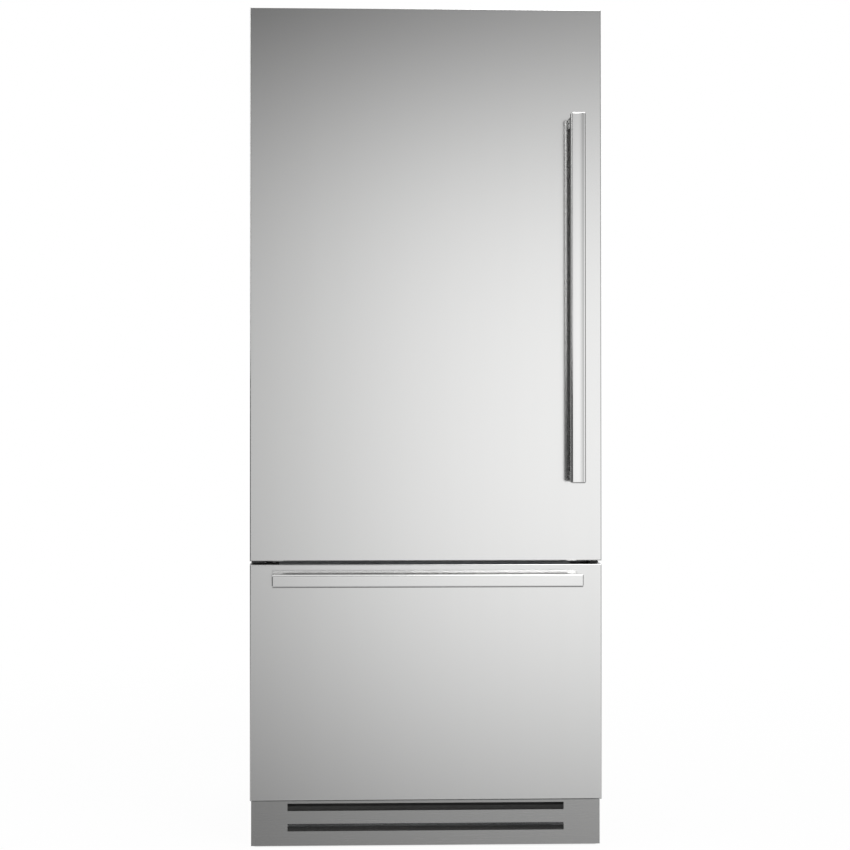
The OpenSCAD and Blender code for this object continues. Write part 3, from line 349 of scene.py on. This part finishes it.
def field(tree, x, z, middle, half):
    """One inside an upright rectangle, else zero."""
    return chain(tree, "MULTIPLY", within(tree, x, middle[0] - half[0], middle[0] + half[0]),
                 within(tree, z, middle[1] - half[1], middle[1] + half[1]))


def second_finish(tree, colour, pattern, low, high, metallic=0.0):
    """Another finish in the same material, with its roughness run by a pattern."""
    return add(tree, "ShaderNodeBsdfPrincipled", Base_Color=(*colour, 1.0), Metallic=metallic,
               Roughness=add(tree, "ShaderNodeMapRange", Value=pattern, To_Min=low, To_Max=high))


def overlay(tree, shader, mask, second):
    """Shows the second finish where the mask is one."""
    both = add(tree, "ShaderNodeMixShader", i0=mask, i1=shader.outputs[0], i2=second)
    tree.links.new(both, tree.nodes["Material Output"].inputs["Surface"])


galvanised, tree, shader, where = finish("galvanised_sheet", (0.55, 0.57, 0.59), 0.42, 1.0)
crystal = add(tree, "ShaderNodeTexVoronoi", 1, Vector=where, Scale=75.0)
spangle = add(tree, "ShaderNodeRGBToBW", Color=crystal)
tint(tree, shader, spangle, (0.50, 0.52, 0.54), (0.61, 0.63, 0.64), (0.2, 0.8))
vary(tree, shader, spangle, "Roughness", 0.38, 0.47, (0.2, 0.8))
relief(tree, shader, speckle(tree, where, 30, 3.0), 0.0002, 0.5)
# the mains inlet in the cover is moulded in black, with three nickel-plated blades
inlet_x, inlet_z, inlet_floor, inlet_rim = -0.390, 0.110, 0.3237, 0.3434
inlet_half, blade_half = (0.0196, 0.0146), (0.0013, 0.0033)
blade_places = ((-0.009, -0.003), (0.0, 0.004), (0.009, -0.003))
x, y, z = axes(tree, where)
moulding = chain(tree, "MULTIPLY", field(tree, x, z, (inlet_x, inlet_z), inlet_half),
                 chain(tree, "LESS_THAN", y, inlet_rim))
blades = chain(tree, "MAXIMUM", *[
    field(tree, x, z, (inlet_x + side, inlet_z + rise), blade_half)
    for side, rise in blade_places])
blades = chain(tree, "MULTIPLY", blades, chain(tree, "GREATER_THAN", y, inlet_floor))
grain = speckle(tree, where, 2400, 2.0)
socket_black = second_finish(tree, (0.018, 0.018, 0.019), grain, 0.4, 0.6)
nickel = second_finish(tree, (0.66, 0.63, 0.58), grain, 0.2, 0.35, 1.0)
overlay(tree, shader, moulding,
        add(tree, "ShaderNodeMixShader", i0=blades, i1=socket_black, i2=nickel))
dress(galvanised, "back_panel", "rear_cover", "fixing_rail")


def outward(mesh):
    """Turns a closed mesh's faces outwards."""
    work = bmesh.new()
    work.from_mesh(mesh)
    bmesh.ops.recalc_face_normals(work, faces=work.faces)
    work.to_mesh(mesh)
    work.free()


def turned(name, profile, sides=24, six_sided=()):
    """A closed turned mesh about Z from (radius, height) points; listed rings are hexagons."""
    mesh = bpy.data.meshes.new(name)
    rings, faces, points = [], [], []
    for i, (radius, height) in enumerate(profile):
        rings.append([])
        for k in range(sides if radius > 0 else 1):
            a = 2 * math.pi * k / sides
            r = radius
            if i in six_sided:
                r *= math.cos(math.pi / 6) / math.cos(a % (math.pi / 3) - math.pi / 6)
            rings[-1].append(len(points))
            points.append((r * math.cos(a), r * math.sin(a), height))
    for low, high in zip(rings, rings[1:]):
        for k in range(sides):
            n = (k + 1) % sides
            if len(low) == 1:
                faces.append((low[0], high[k], high[n]))
            elif len(high) == 1:
                faces.append((low[k], high[0], low[n]))
            else:
                faces.append((low[k], high[k], high[n], low[n]))
    mesh.from_pydata(points, [], faces)
    outward(mesh)
    return mesh


def new_tree(name, **kinds):
    """An empty Geometry Nodes tree with named inputs; returns it, their keys and its inputs."""
    tree = bpy.data.node_groups.new(name, "GeometryNodeTree")
    face = tree.interface
    face.new_socket("Geometry", in_out="OUTPUT", socket_type="NodeSocketGeometry")
    face.new_socket("Geometry", in_out="INPUT", socket_type="NodeSocketGeometry")
    keys = {key: face.new_socket(key.replace("_", " "), in_out="INPUT",
                                 socket_type="NodeSocket" + kind).identifier
            for key, kind in kinds.items()}
    return tree, keys, tree.nodes.new("NodeGroupInput").outputs


def grown(name, base, recipe, body, material_slot, **inputs):
    """Runs a tree on a mesh and keeps the result as a plain piece that rides on a body."""
    tree, keys, _ = recipe
    shapes = []
    seed = bpy.data.objects.new(name + "_seed", base)
    scene.collection.objects.link(seed)
    modifier = seed.modifiers.new("build", "NODES")
    modifier.node_group = tree
    for key, value in inputs.items():
        if isinstance(value, bpy.types.Mesh):
            value = bpy.data.objects.new(value.name, value)
            scene.collection.objects.link(value)
            shapes.append(value)
        modifier[keys[key]] = value
    bpy.context.view_layer.update()
    ready = seed.evaluated_get(bpy.context.evaluated_depsgraph_get())
    mesh = bpy.data.meshes.new_from_object(ready)
    mesh.name = name
    for spare in (seed, *shapes):
        bpy.data.objects.remove(spare)
    piece = bpy.data.objects.new(name, mesh)
    scene.collection.objects.link(piece)
    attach(piece, body)
    return piece


def spots(places):
    """A mesh of loose points."""
    mesh = bpy.data.meshes.new("spots")
    mesh.from_pydata([tuple(place) for place in places], [], [])
    return mesh


# one small shape set on each point of a mesh, turned and scaled
setting = new_tree("set_on_points", Shape="Object", Turn="Rotation", Size="Vector",
                   Finish="Material")
tree, _, given = setting
dots = add(tree, "GeometryNodeMeshToPoints", Mesh=given["Geometry"])
shape = add(tree, "GeometryNodeObjectInfo", 4, Object=given["Shape"])
copies = add(tree, "GeometryNodeInstanceOnPoints", Points=dots, Instance=shape,
             Rotation=given["Turn"], Scale=given["Size"])
copies = add(tree, "GeometryNodeRealizeInstances", Geometry=copies)
end_with(tree, "NodeGroupOutput", "Geometry",
         add(tree, "GeometryNodeSetMaterial", Geometry=copies, Material=given["Finish"]))

washer_r, washer_h, hex_r, hex_foot = 5.4e-3, 0.8e-3, 3.7e-3, 1.0e-3
head_h, chamfer = 3.4e-3, 0.4e-3
hex_head = turned("hex_head", [(0, 0), (washer_r, 0), (washer_r, washer_h), (hex_r, hex_foot),
                               (hex_r, head_h - chamfer), (hex_r - chamfer, head_h), (0, head_h)],
                  24, (3, 4, 5))
low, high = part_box("back_panel")
# the heads start a little inside the flat sheet, which lies deeper than the swages
side_x, side_rows, below_swages = 0.438, 10, 0.0036
sheet_y = high.y - below_swages


def side_column(heights):
    """Screws up both edges of the back."""
    return [(s * side_x, sheet_y, z) for s in (-1, 1) for z in heights]


def level_row(start, step, count, z):
    """Screws along the top of a panel."""
    return [(start + step * k, sheet_y, z) for k in range(count)]


lowest, both_ends = 0.012, 0.03
places = side_column([low.z + lowest + k * (high.z - low.z - both_ends) / (side_rows - 1)
                      for k in range(side_rows)])
places += level_row(-0.275, 0.11, 6, high.z - 0.010)
low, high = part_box("rear_cover")
places += level_row(-0.36, 0.12, 7, high.z - 0.008)
places += side_column((0.06, 0.15, 0.24))
grown("rear_screws", spots(places), setting, "cabinet", "zinc_steel", Shape=hex_head,
      Turn=(math.radians(-90), 0.0, 0.0), Size=(1.0, 1.0, 1.0), Finish=zinc)

# --- Liners -----------------------------------------------------------------------------
# Both compartments and the inner sides of both fronts are vacuum-formed from white
# polystyrene sheet. It is glossy and very slightly wavy, as the hot sheet is pulled down.
liner, tree, shader, where = finish("white_liner", (0.76, 0.77, 0.77), 0.26,
                                    Coat_Weight=0.2, Coat_Roughness=0.12)
relief(tree, shader, speckle(tree, where, 6, 1.0), 0.0008, 0.12)
haze = speckle(tree, where, 14, 3.0)
tint(tree, shader, haze, (0.752, 0.760, 0.760), (0.768, 0.775, 0.775))
vary(tree, shader, haze, "Roughness", 0.25, 0.29)
dress(liner, "fridge_liner", "freezer_liner", "door_liner", "drawer_liner")

# --- Compressor and its feet ------------------------------------------------------------
# The can is welded from two deep-drawn steel shells with a seam round the middle and painted
# black. Its suction and discharge stubs are copper. It stands on four rubber grommets.
can_paint, tree, shader, where = finish("can_paint", (0.016, 0.016, 0.017), 0.3,
                                        Coat_Weight=0.3, Coat_Roughness=0.2)
relief(tree, shader, speckle(tree, where, 260, 2.0), 0.00012)
tint(tree, shader, speckle(tree, where, 9, 4.0), (0.013, 0.013, 0.014), (0.026, 0.026, 0.027))
low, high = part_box("compressor_feet")
centre = (low + high) / 2
can_r, stub_low = 0.0925, 0.09
copper = second_finish(tree, (0.72, 0.33, 0.19), speckle(tree, where, 140, 4.0), 0.25, 0.6, 1.0)
x, y, z = axes(tree, add(tree, "ShaderNodeMapping", Vector=where,
                         Location=(-centre.x, -centre.y, 0.0)))
stub = chain(tree, "MULTIPLY", chain(tree, "GREATER_THAN", off_axis(tree, x, y), can_r),
             chain(tree, "GREATER_THAN", z, stub_low))
overlay(tree, shader, stub, copper)
dress(can_paint, "compressor")
rubber, tree, shader, where = finish("black_rubber", (0.02, 0.02, 0.02), 0.7)
relief(tree, shader, speckle(tree, where, 1200, 2.0), 0.00008)
tint(tree, shader, speckle(tree, where, 40, 3.0), (0.016, 0.016, 0.016), (0.034, 0.034, 0.034))
dress(rubber, "compressor_feet")

# --- Condenser, fan and drip tray -------------------------------------------------------
# The condenser is a steel serpentine pressed through rippled sheet fins, dipped in black
# paint. The fan in its moulded housing blows along it, and the tray over the warm can takes
# the defrost water. Fan, housing and tray are moulded plastic with a fine spark grain.
dress(black_paint, "condenser")


def rippled_fin(ripples, height=0.0007, half=0.00012):
    """A unit sheet in Y and Z with upright ripples and a real thickness along X."""
    mesh = bpy.data.meshes.new("rippled_fin")
    points, faces = [], []
    steps = 2 * ripples
    for k in range(steps + 1):
        x = height if k % 2 else -height
        for side, z in ((-half, 0.0), (half, 0.0), (half, 1.0), (-half, 1.0)):
            points.append((x + side, k / steps, z))
    for k in range(steps):
        a, b = 4 * k, 4 * k + 4
        for i in range(4):
            j = (i + 1) % 4
            faces.append((a + i, a + j, b + j, b + i))
    faces += [(3, 2, 1, 0), tuple(4 * steps + i for i in range(4))]
    mesh.from_pydata(points, [], faces)
    outward(mesh)
    return mesh


def fin_pack(name, node, pitch, first, foot, ripples, slot, metal):
    """Fins in a row between the end plates of a coil, from its foot to the top."""
    low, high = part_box(node)
    plates, inset = 0.006, 0.0005
    count = int((high.x - low.x - plates) / pitch)
    row = [(low.x + first + k * pitch, low.y + inset, low.z + foot) for k in range(count)]
    grown(name, spots(row), setting, "cabinet", slot, Shape=rippled_fin(ripples),
          Turn=(0.0, 0.0, 0.0), Size=(1.0, high.y - low.y - 2 * inset, high.z - low.z - foot),
          Finish=metal)


fin_pack("condenser_fins", "condenser", pitch=0.005, first=0.0035, foot=0.014, ripples=6,
         slot="black_steel", metal=black_paint)
black_plastic, tree, shader, where = finish("black_plastic", (0.018, 0.018, 0.019), 0.46)
relief(tree, shader, speckle(tree, where, 2400, 2.0), 0.00005)
mould = speckle(tree, where, 24, 4.0)
tint(tree, shader, mould, (0.015, 0.015, 0.016), (0.026, 0.026, 0.027))
vary(tree, shader, mould, "Roughness", 0.40, 0.56)
dress(black_plastic, "condenser_fan", "drip_tray")
dress(nylon, "fan_housing")

# --- Evaporator, its cover and the freezer fan ------------------------------------------
# Behind the freezer's rear wall stands a finned aluminium coil, and in front of it a white
# moulded cover with the fan's nozzle and air slots. Frost leaves the fins dull in patches.
fin_metal, tree, shader, where = finish("fin_aluminium", (0.70, 0.71, 0.72), 0.38, 1.0)
frost = speckle(tree, where, 45, 4.0)
tint(tree, shader, frost, (0.62, 0.63, 0.64), (0.76, 0.77, 0.78))
vary(tree, shader, frost, "Roughness", 0.30, 0.52)
dress(fin_metal, "evaporator")
fin_pack("evaporator_fins", "evaporator", pitch=0.008, first=0.004, foot=0.016, ripples=4,
         slot="fin_aluminium", metal=fin_metal)
white_plastic, tree, shader, where = finish("white_plastic", (0.74, 0.74, 0.73), 0.42)
relief(tree, shader, speckle(tree, where, 1900, 2.0), 0.00004)
grain = speckle(tree, where, 12, 4.0)
tint(tree, shader, grain, (0.72, 0.72, 0.71), (0.76, 0.76, 0.755))
vary(tree, shader, grain, "Roughness", 0.36, 0.50)
dress(white_plastic, "evaporator_cover")
dress(nylon, "freezer_fan")

# --- Air duct and control panel ---------------------------------------------------------
# The duct down the rear wall is a hollow white moulding with outlet slots over each shelf.
# The panel under the ceiling has five soft-touch keys and a light over each; none is marked.
dress(white_plastic, "air_duct", "control_panel")
key_plastic, tree, shader, where = finish("key_plastic", (0.30, 0.31, 0.32), 0.45)
relief(tree, shader, speckle(tree, where, 2600, 2.0), 0.00003)
tint(tree, shader, speckle(tree, where, 60, 3.0), (0.28, 0.29, 0.30), (0.33, 0.34, 0.35))
lens_glow, tree, shader, where = finish("lens_glow", (0.55, 0.75, 0.95), 0.2,
                                        Emission_Color=(0.45, 0.72, 1.0, 1.0))
vary(tree, shader, speckle(tree, where, 900, 1.0), "Emission Strength", 0.9, 1.4)
# radius and height of each ring
key = turned("key", [(0, -0.0004), (0.0070, -0.0004), (0.0070, 0.0003), (0.0066, 0.0006),
                     (0.0040, 0.0004), (0, 0.0003)])
lens = turned("lens", [(0, -0.0003), (0.0012, -0.0003), (0.0012, 0.0002), (0.0007, 0.0005),
                       (0, 0.0006)], 12)
low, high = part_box("control_panel")
slope_depth, slope_h, lip, key_step = 0.008, 0.030, 0.003, 0.034
front_bottom = Vector((0.0, low.y + slope_depth, low.z + lip))
front_top = Vector((0.0, low.y, high.z))
lean = math.pi / 2 + math.atan2(slope_depth, slope_h)
for name, shape, share, colour in (("panel_keys", key, 0.42, key_plastic),
                                   ("panel_lights", lens, 0.80, lens_glow)):
    spot = front_bottom.lerp(front_top, share)
    row = [(key_step * k, spot.y, spot.z) for k in range(-2, 3)]
    grown(name, spots(row), setting, "cabinet", "grey_plastic", Shape=shape,
          Turn=(lean, 0.0, 0.0), Size=(1.0, 1.0, 1.0), Finish=colour)

# --- Light bars -------------------------------------------------------------------------
# Strips of light-emitting diodes stand behind frosted acrylic covers in the side walls and
# under the freezer's ceiling. Each diode shows through its cover as a brighter spot.
diffuser, tree, shader, where = finish("light_diffuser", (0.86, 0.86, 0.84), 0.5,
                                       Emission_Color=(1.0, 0.97, 0.92, 1.0))
relief(tree, shader, speckle(tree, where, 900, 1.0), 0.00005)
diode_pitch = 0.022
x, _, z = axes(tree, where)
turn = chain(tree, "MULTIPLY", chain(tree, "ADD", x, z), 2 * math.pi / diode_pitch)
vary(tree, shader, single(tree, "SINE", turn), "Emission Strength", 2.4, 3.6, (-1.0, 1.0))
dress(diffuser, "light_bars")

# --- Tracks and shelves -----------------------------------------------------------------
# Two slotted tracks are screwed to the rear wall, and the shelf brackets hook into them.
# Tracks and brackets are white-enamelled steel; the front and rear trims that hold each pane
# of toughened glass are drawn aluminium, with die lines that run from side to side.
enamel, tree, shader, where = finish("white_enamel", (0.76, 0.76, 0.75), 0.3)
relief(tree, shader, speckle(tree, where, 600, 1.0), 0.00005)
tint(tree, shader, speckle(tree, where, 20, 3.0), (0.74, 0.74, 0.73), (0.78, 0.78, 0.775))
dress(enamel, "shelf_tracks")
trim, tree, shader, where = finish("shelf_trim", (0.66, 0.67, 0.68), 0.30, 1.0)
drawn = speckle(tree, where, 900, 3.0, (0.01, 1.0, 1.0))
tint(tree, shader, drawn, (0.61, 0.62, 0.63), (0.70, 0.71, 0.72))
vary(tree, shader, drawn, "Roughness", 0.24, 0.38)
relief(tree, shader, drawn, 0.00003)
bracket = second_finish(tree, (0.76, 0.76, 0.75), speckle(tree, where, 20, 3.0), 0.26, 0.38)
low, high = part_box("lower_shelf")
front_trim, rear_trim = 0.0122, 0.0082
between_trims = within(tree, axes(tree, where)[1], low.y + front_trim, high.y - rear_trim)
overlay(tree, shader, between_trims, bracket)
dress(trim, "lower_shelf", "middle_shelf", "upper_shelf")
pane_glass, tree, shader, where = finish("shelf_glass", (0.90, 0.965, 0.94), 0.02,
                                         Transmission_Weight=1.0, IOR=1.5)
vary(tree, shader, speckle(tree, where, 11, 4.0), "Roughness", 0.01, 0.05)
dress(pane_glass, "shelf_panes")

# --- Crispers ---------------------------------------------------------------------------
# Two clear drawers slide on the ledges of a white moulded frame, under a glass pane. They
# are injection-moulded in clear polystyrene, with a faint flow ripple and a cool tint.
dress(white_plastic, "crisper_frame")
dress(pane_glass, "crisper_cover")
clear, tree, shader, where = finish("clear_plastic", (0.985, 0.991, 0.991), 0.04,
                                    Transmission_Weight=1.0, IOR=1.49)
ripple = speckle(tree, where, 22, 2.0)
vary(tree, shader, ripple, "Roughness", 0.02, 0.06)
relief(tree, shader, ripple, 0.0003, 0.15)
dress(clear, "left_crisper", "right_crisper")

# --- Steel fronts -----------------------------------------------------------------------
# Door and drawer front wear trays of 1.2 mm stainless steel, folded at all four edges and
# glued to the foam. The sheet is brushed upright with a fine belt: single marks only show
# close up, and farther off they blur what the steel mirrors.


def brushed(name, tone, stretch, low, high, warmth=0.004, swing=0.002):
    """Stainless steel with long fine marks along the axis that stretch leaves small."""
    made, tree, shader, where = finish(name, (tone, tone, tone - warmth), (low + high) / 2, 1.0)
    marks = speckle(tree, where, 1.0, 3.0, stretch, 0.6)
    vary(tree, shader, marks, "Roughness", low, high)
    relief(tree, shader, marks, 0.000002)
    wide = speckle(tree, where, 1.0, 2.0, tuple(s / 60 for s in stretch), 0.5)
    dim, bright = tone - swing, tone + swing
    tint(tree, shader, wide, (dim, dim, dim - warmth), (bright, bright, bright - warmth))
    return made


# spots to the metre along X, Y and Z: few along the marks and many across
upright_marks, level_marks = (2200.0, 2200.0, 9.0), (9.0, 2200.0, 2200.0)
upright_steel = brushed("upright_brushed_steel", 0.64, upright_marks, 0.14, 0.16)
dress(upright_steel, "door_skin", "drawer_skin")

# --- Seals ------------------------------------------------------------------------------
# Each front carries an extruded grey seal: a foot pressed into the liner, two bellows folds
# and a pocket with a magnet strip that pulls it to the steel face frame.
seal_rubber, tree, shader, where = finish("seal_rubber", (0.25, 0.255, 0.26), 0.6)
relief(tree, shader, speckle(tree, where, 900, 2.0), 0.00005)
tint(tree, shader, speckle(tree, where, 30, 3.0), (0.235, 0.24, 0.245), (0.275, 0.28, 0.285))

# a closed section swept round a closed flat path, then stood upright to face the front
sweeping = new_tree("sweep_round_path", Section="Object", Turn="Rotation", Finish="Material")
tree, _, given = sweeping
path = add(tree, "GeometryNodeMeshToCurve", Mesh=given["Geometry"])
path = add(tree, "GeometryNodeSetCurveNormal", 0, {"mode": "Z_UP"}, Curve=path)
outline = add(tree, "GeometryNodeMeshToCurve",
              Mesh=add(tree, "GeometryNodeObjectInfo", 4, Object=given["Section"]))
swept = add(tree, "GeometryNodeCurveToMesh", i0=path, i1=outline)
stood = add(tree, "GeometryNodeTransform", Geometry=swept, Rotation=given["Turn"])
stood = add(tree, "GeometryNodeRealizeInstances", Geometry=stood)
end_with(tree, "NodeGroupOutput", "Geometry",
         add(tree, "GeometryNodeSetMaterial", Geometry=stood, Material=given["Finish"]))


def looped(name, points):
    """A closed chain of edges."""
    mesh = bpy.data.meshes.new(name)
    count = len(points)
    mesh.from_pydata(points, [(k, (k + 1) % count) for k in range(count)], [])
    return mesh


def rounded_ring(x0, x1, y0, y1, z, r, steps=6):
    """Points round a rectangle with rounded corners."""
    points = []
    for cx, cy, start in ((x1 - r, y1 - r, 0), (x0 + r, y1 - r, 90), (x0 + r, y0 + r, 180),
                          (x1 - r, y0 + r, 270)):
        for k in range(steps + 1):
            a = math.radians(start + 90 * k / steps)
            points.append((cx + r * math.cos(a), cy + r * math.sin(a), z))
    return points


for name, body in (("door_seal", "door"), ("drawer_seal", "drawer")):
    low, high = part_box(name)
    half, corner_r, depth = 0.007, 0.008, high.y - low.y
    section = [(-0.86, 1.0), (0.86, 1.0), (1.0, 0.90), (0.72, 0.76), (0.98, 0.62), (0.70, 0.48),
               (1.0, 0.38), (1.0, 0.06), (0.90, 0.0), (-0.90, 0.0), (-1.0, 0.06), (-1.0, 0.38),
               (-0.70, 0.48), (-0.98, 0.62), (-0.72, 0.76), (-1.0, 0.90)]
    section = looped("seal_section", [(u * half, -v * depth, 0.0) for u, v in section])
    ring = looped("seal_path", rounded_ring(low.x + half, high.x - half, low.z + half,
                                            high.z - half, -high.y, corner_r))
    seal = grown(name + "_ring", ring, sweeping, body, "seal_rubber", Section=section,
                 Turn=(math.radians(90), 0.0, 0.0), Finish=seal_rubber)
    outward(seal.data)
    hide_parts(name)

# --- Handles ----------------------------------------------------------------------------
# The bars are drawn stainless steel with a flat front, well-rounded back edges and rounded
# ends, brushed along their length. Two posts carry each one; a set screw in each post clamps
# it on a stud in the front. The upright bar's front is dished by about a millimetre.
bar_steel = brushed("upright_bar_steel", 0.66, upright_marks, 0.13, 0.15)
level_bar_steel = brushed("level_bar_steel", 0.66, level_marks, 0.13, 0.15)
dress(bar_steel, "door_handle_posts")
dress(level_bar_steel, "drawer_handle_posts")
front_r, back_r, end_r, hollow = 0.0035, 0.0090, 0.0030, 0.0010


def bar_section(width, depth, dish, across=12, corner=6):
    """Outline of a bar's section across its width, from its flat back to its dished front."""
    half, points = width / 2, []
    flat = half - front_r
    for k in range(corner + 1):
        a = math.pi / 2 * k / corner
        points.append((flat + front_r * math.cos(a), depth - front_r + front_r * math.sin(a)))
    for k in range(1, across):
        u = flat * (1 - 2 * k / across)
        points.append((u, depth - dish * (1 - (u / flat) ** 2)))
    for k in range(corner + 1):
        a = math.pi / 2 * (1 + k / corner)
        points.append((-flat + front_r * math.cos(a), depth - front_r + front_r * math.sin(a)))
    for side in (-1, 1):
        for k in range(corner + 1):
            a = math.pi / 2 * (k if side < 0 else corner - k) / corner
            points.append((side * (half - back_r + back_r * math.cos(a)),
                           back_r - back_r * math.sin(a)))
    return points


def bar(name, node, body, dish, upright, material, steps=4, support=0.0003):
    """A bar in the box of a node, rounded at both ends."""
    low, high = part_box(node)
    width, depth = high.x - low.x if upright else high.z - low.z, high.y - low.y
    section = bar_section(width, depth, dish)
    middle = (low + high) / 2
    start, end = (low.z, high.z) if upright else (low.x, high.x)
    turns = [math.pi / 2 * k / steps for k in range(steps + 1)]
    rings = [(start + end_r * (1 - math.cos(a)), end_r * (1 - math.sin(a))) for a in turns]
    # one more ring just inside each end keeps the shading of the long faces flat
    rings.append((start + end_r + support, 0.0))
    rings += [(start + end - along, inset) for along, inset in reversed(rings)]
    points, faces = [], []
    for along, inset in rings:
        for u, v in section:
            u *= 1 - 2 * inset / width
            v = high.y - (inset + v * (1 - 2 * inset / depth))
            points.append((middle.x + u, v, along) if upright else (along, v, middle.z + u))
    count = len(section)
    for ring in range(len(rings) - 1):
        for k in range(count):
            n = (k + 1) % count
            faces.append((ring * count + k, ring * count + n, (ring + 1) * count + n,
                          (ring + 1) * count + k))
    last = (len(rings) - 1) * count
    faces += [tuple(range(count)), tuple(last + k for k in range(count))]
    mesh = bpy.data.meshes.new(name)
    mesh.from_pydata(points, [], faces)
    outward(mesh)
    mesh.shade_smooth()
    mesh.set_sharp_from_angle(angle=math.radians(32))
    mesh.materials.append(material)
    piece = bpy.data.objects.new(name, mesh)
    scene.collection.objects.link(piece)
    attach(piece, body)
    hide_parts(node)


bar("door_bar", "door_handle", "door", hollow, True, bar_steel)
bar("drawer_bar", "drawer_handle", "drawer", 0.0, False, level_bar_steel)
set_screw = turned("set_screw", [(0, -0.0005), (0.0030, -0.0005), (0.0030, 0.0003),
                                 (0.0027, 0.0006), (0.0015, 0.0006), (0.0014, -0.0002),
                                 (0, -0.0002)], 24, (4, 5))


def set_screws(name, body, places, turn):
    """A set screw in each post of a bar."""
    grown(name, spots(places), setting, body, "zinc_steel", Shape=set_screw, Turn=turn,
          Size=(1.0, 1.0, 1.0), Finish=zinc)


low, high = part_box("door_handle_posts")
post_y, half_post = (low.y + high.y) / 2, 0.0135
set_screws("door_set_screws", "door",
           [(low.x, post_y, z) for z in (low.z + half_post, high.z - half_post)],
           (0.0, math.radians(-90), 0.0))
low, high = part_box("drawer_handle_posts")
set_screws("drawer_set_screws", "drawer",
           [(x, post_y, low.z) for x in (low.x + half_post, high.x - half_post)],
           (math.radians(180), 0.0, 0.0))

# --- Door bins and dairy lid ------------------------------------------------------------
# Three clear tubs hang on shoulders of the door liner. The top one keeps butter and cheese
# under a lid that turns on a rod moulded along its rear edge.
dress(clear, "lower_bin", "middle_bin", "upper_bin", "dairy_lid")

# --- Hinges and their covers ------------------------------------------------------------
# The upper hinge plate is screwed to the roof and the lower one to the face frame; both are
# 5 mm steel, black. Their pins turn in black acetal bearings in the door. Opposite the lower
# hinge a black moulded cap closes the gap.
dress(black_paint, "top_hinge", "lower_hinge")
dress(zinc, "hinge_screws")
dress(black_plastic, "hinge_bearings", "gap_cap")

# --- Runners ----------------------------------------------------------------------------
# The freezer drawer hangs on telescopic runners of three nested channels a side, rolled from
# zinc-plated strip; the inner ones end in feet that are screwed to the drawer front.
dress(zinc, "outer_runners", "middle_runners", "inner_runners")

# --- Basket and tray --------------------------------------------------------------------
# The basket rests on the runners' ledges, and the shallow tray slides on its rim. Both are
# clear moulded tubs as in the upper compartment.
dress(clear, "freezer_basket", "freezer_tray")

# --- Plinth -----------------------------------------------------------------------------
# One folded strip of stainless sheet closes the base, set back from the fronts. It is brushed
# level with a coarser belt, which makes it rougher, and its colour is painted darker than the
# fronts' steel as painted shade, for the shadowed floor it mirrors under the drawer. Two long
# slots with lips turned inward let air into the machine space.
# the tone of 0.41 is painted shade: the same stainless as the fronts, painted darker for the
# shade under the drawer
plinth_steel_painted_shade = brushed("level_brushed_steel", 0.41, level_marks, 0.26, 0.275)
dress(plinth_steel_painted_shade, "plinth")
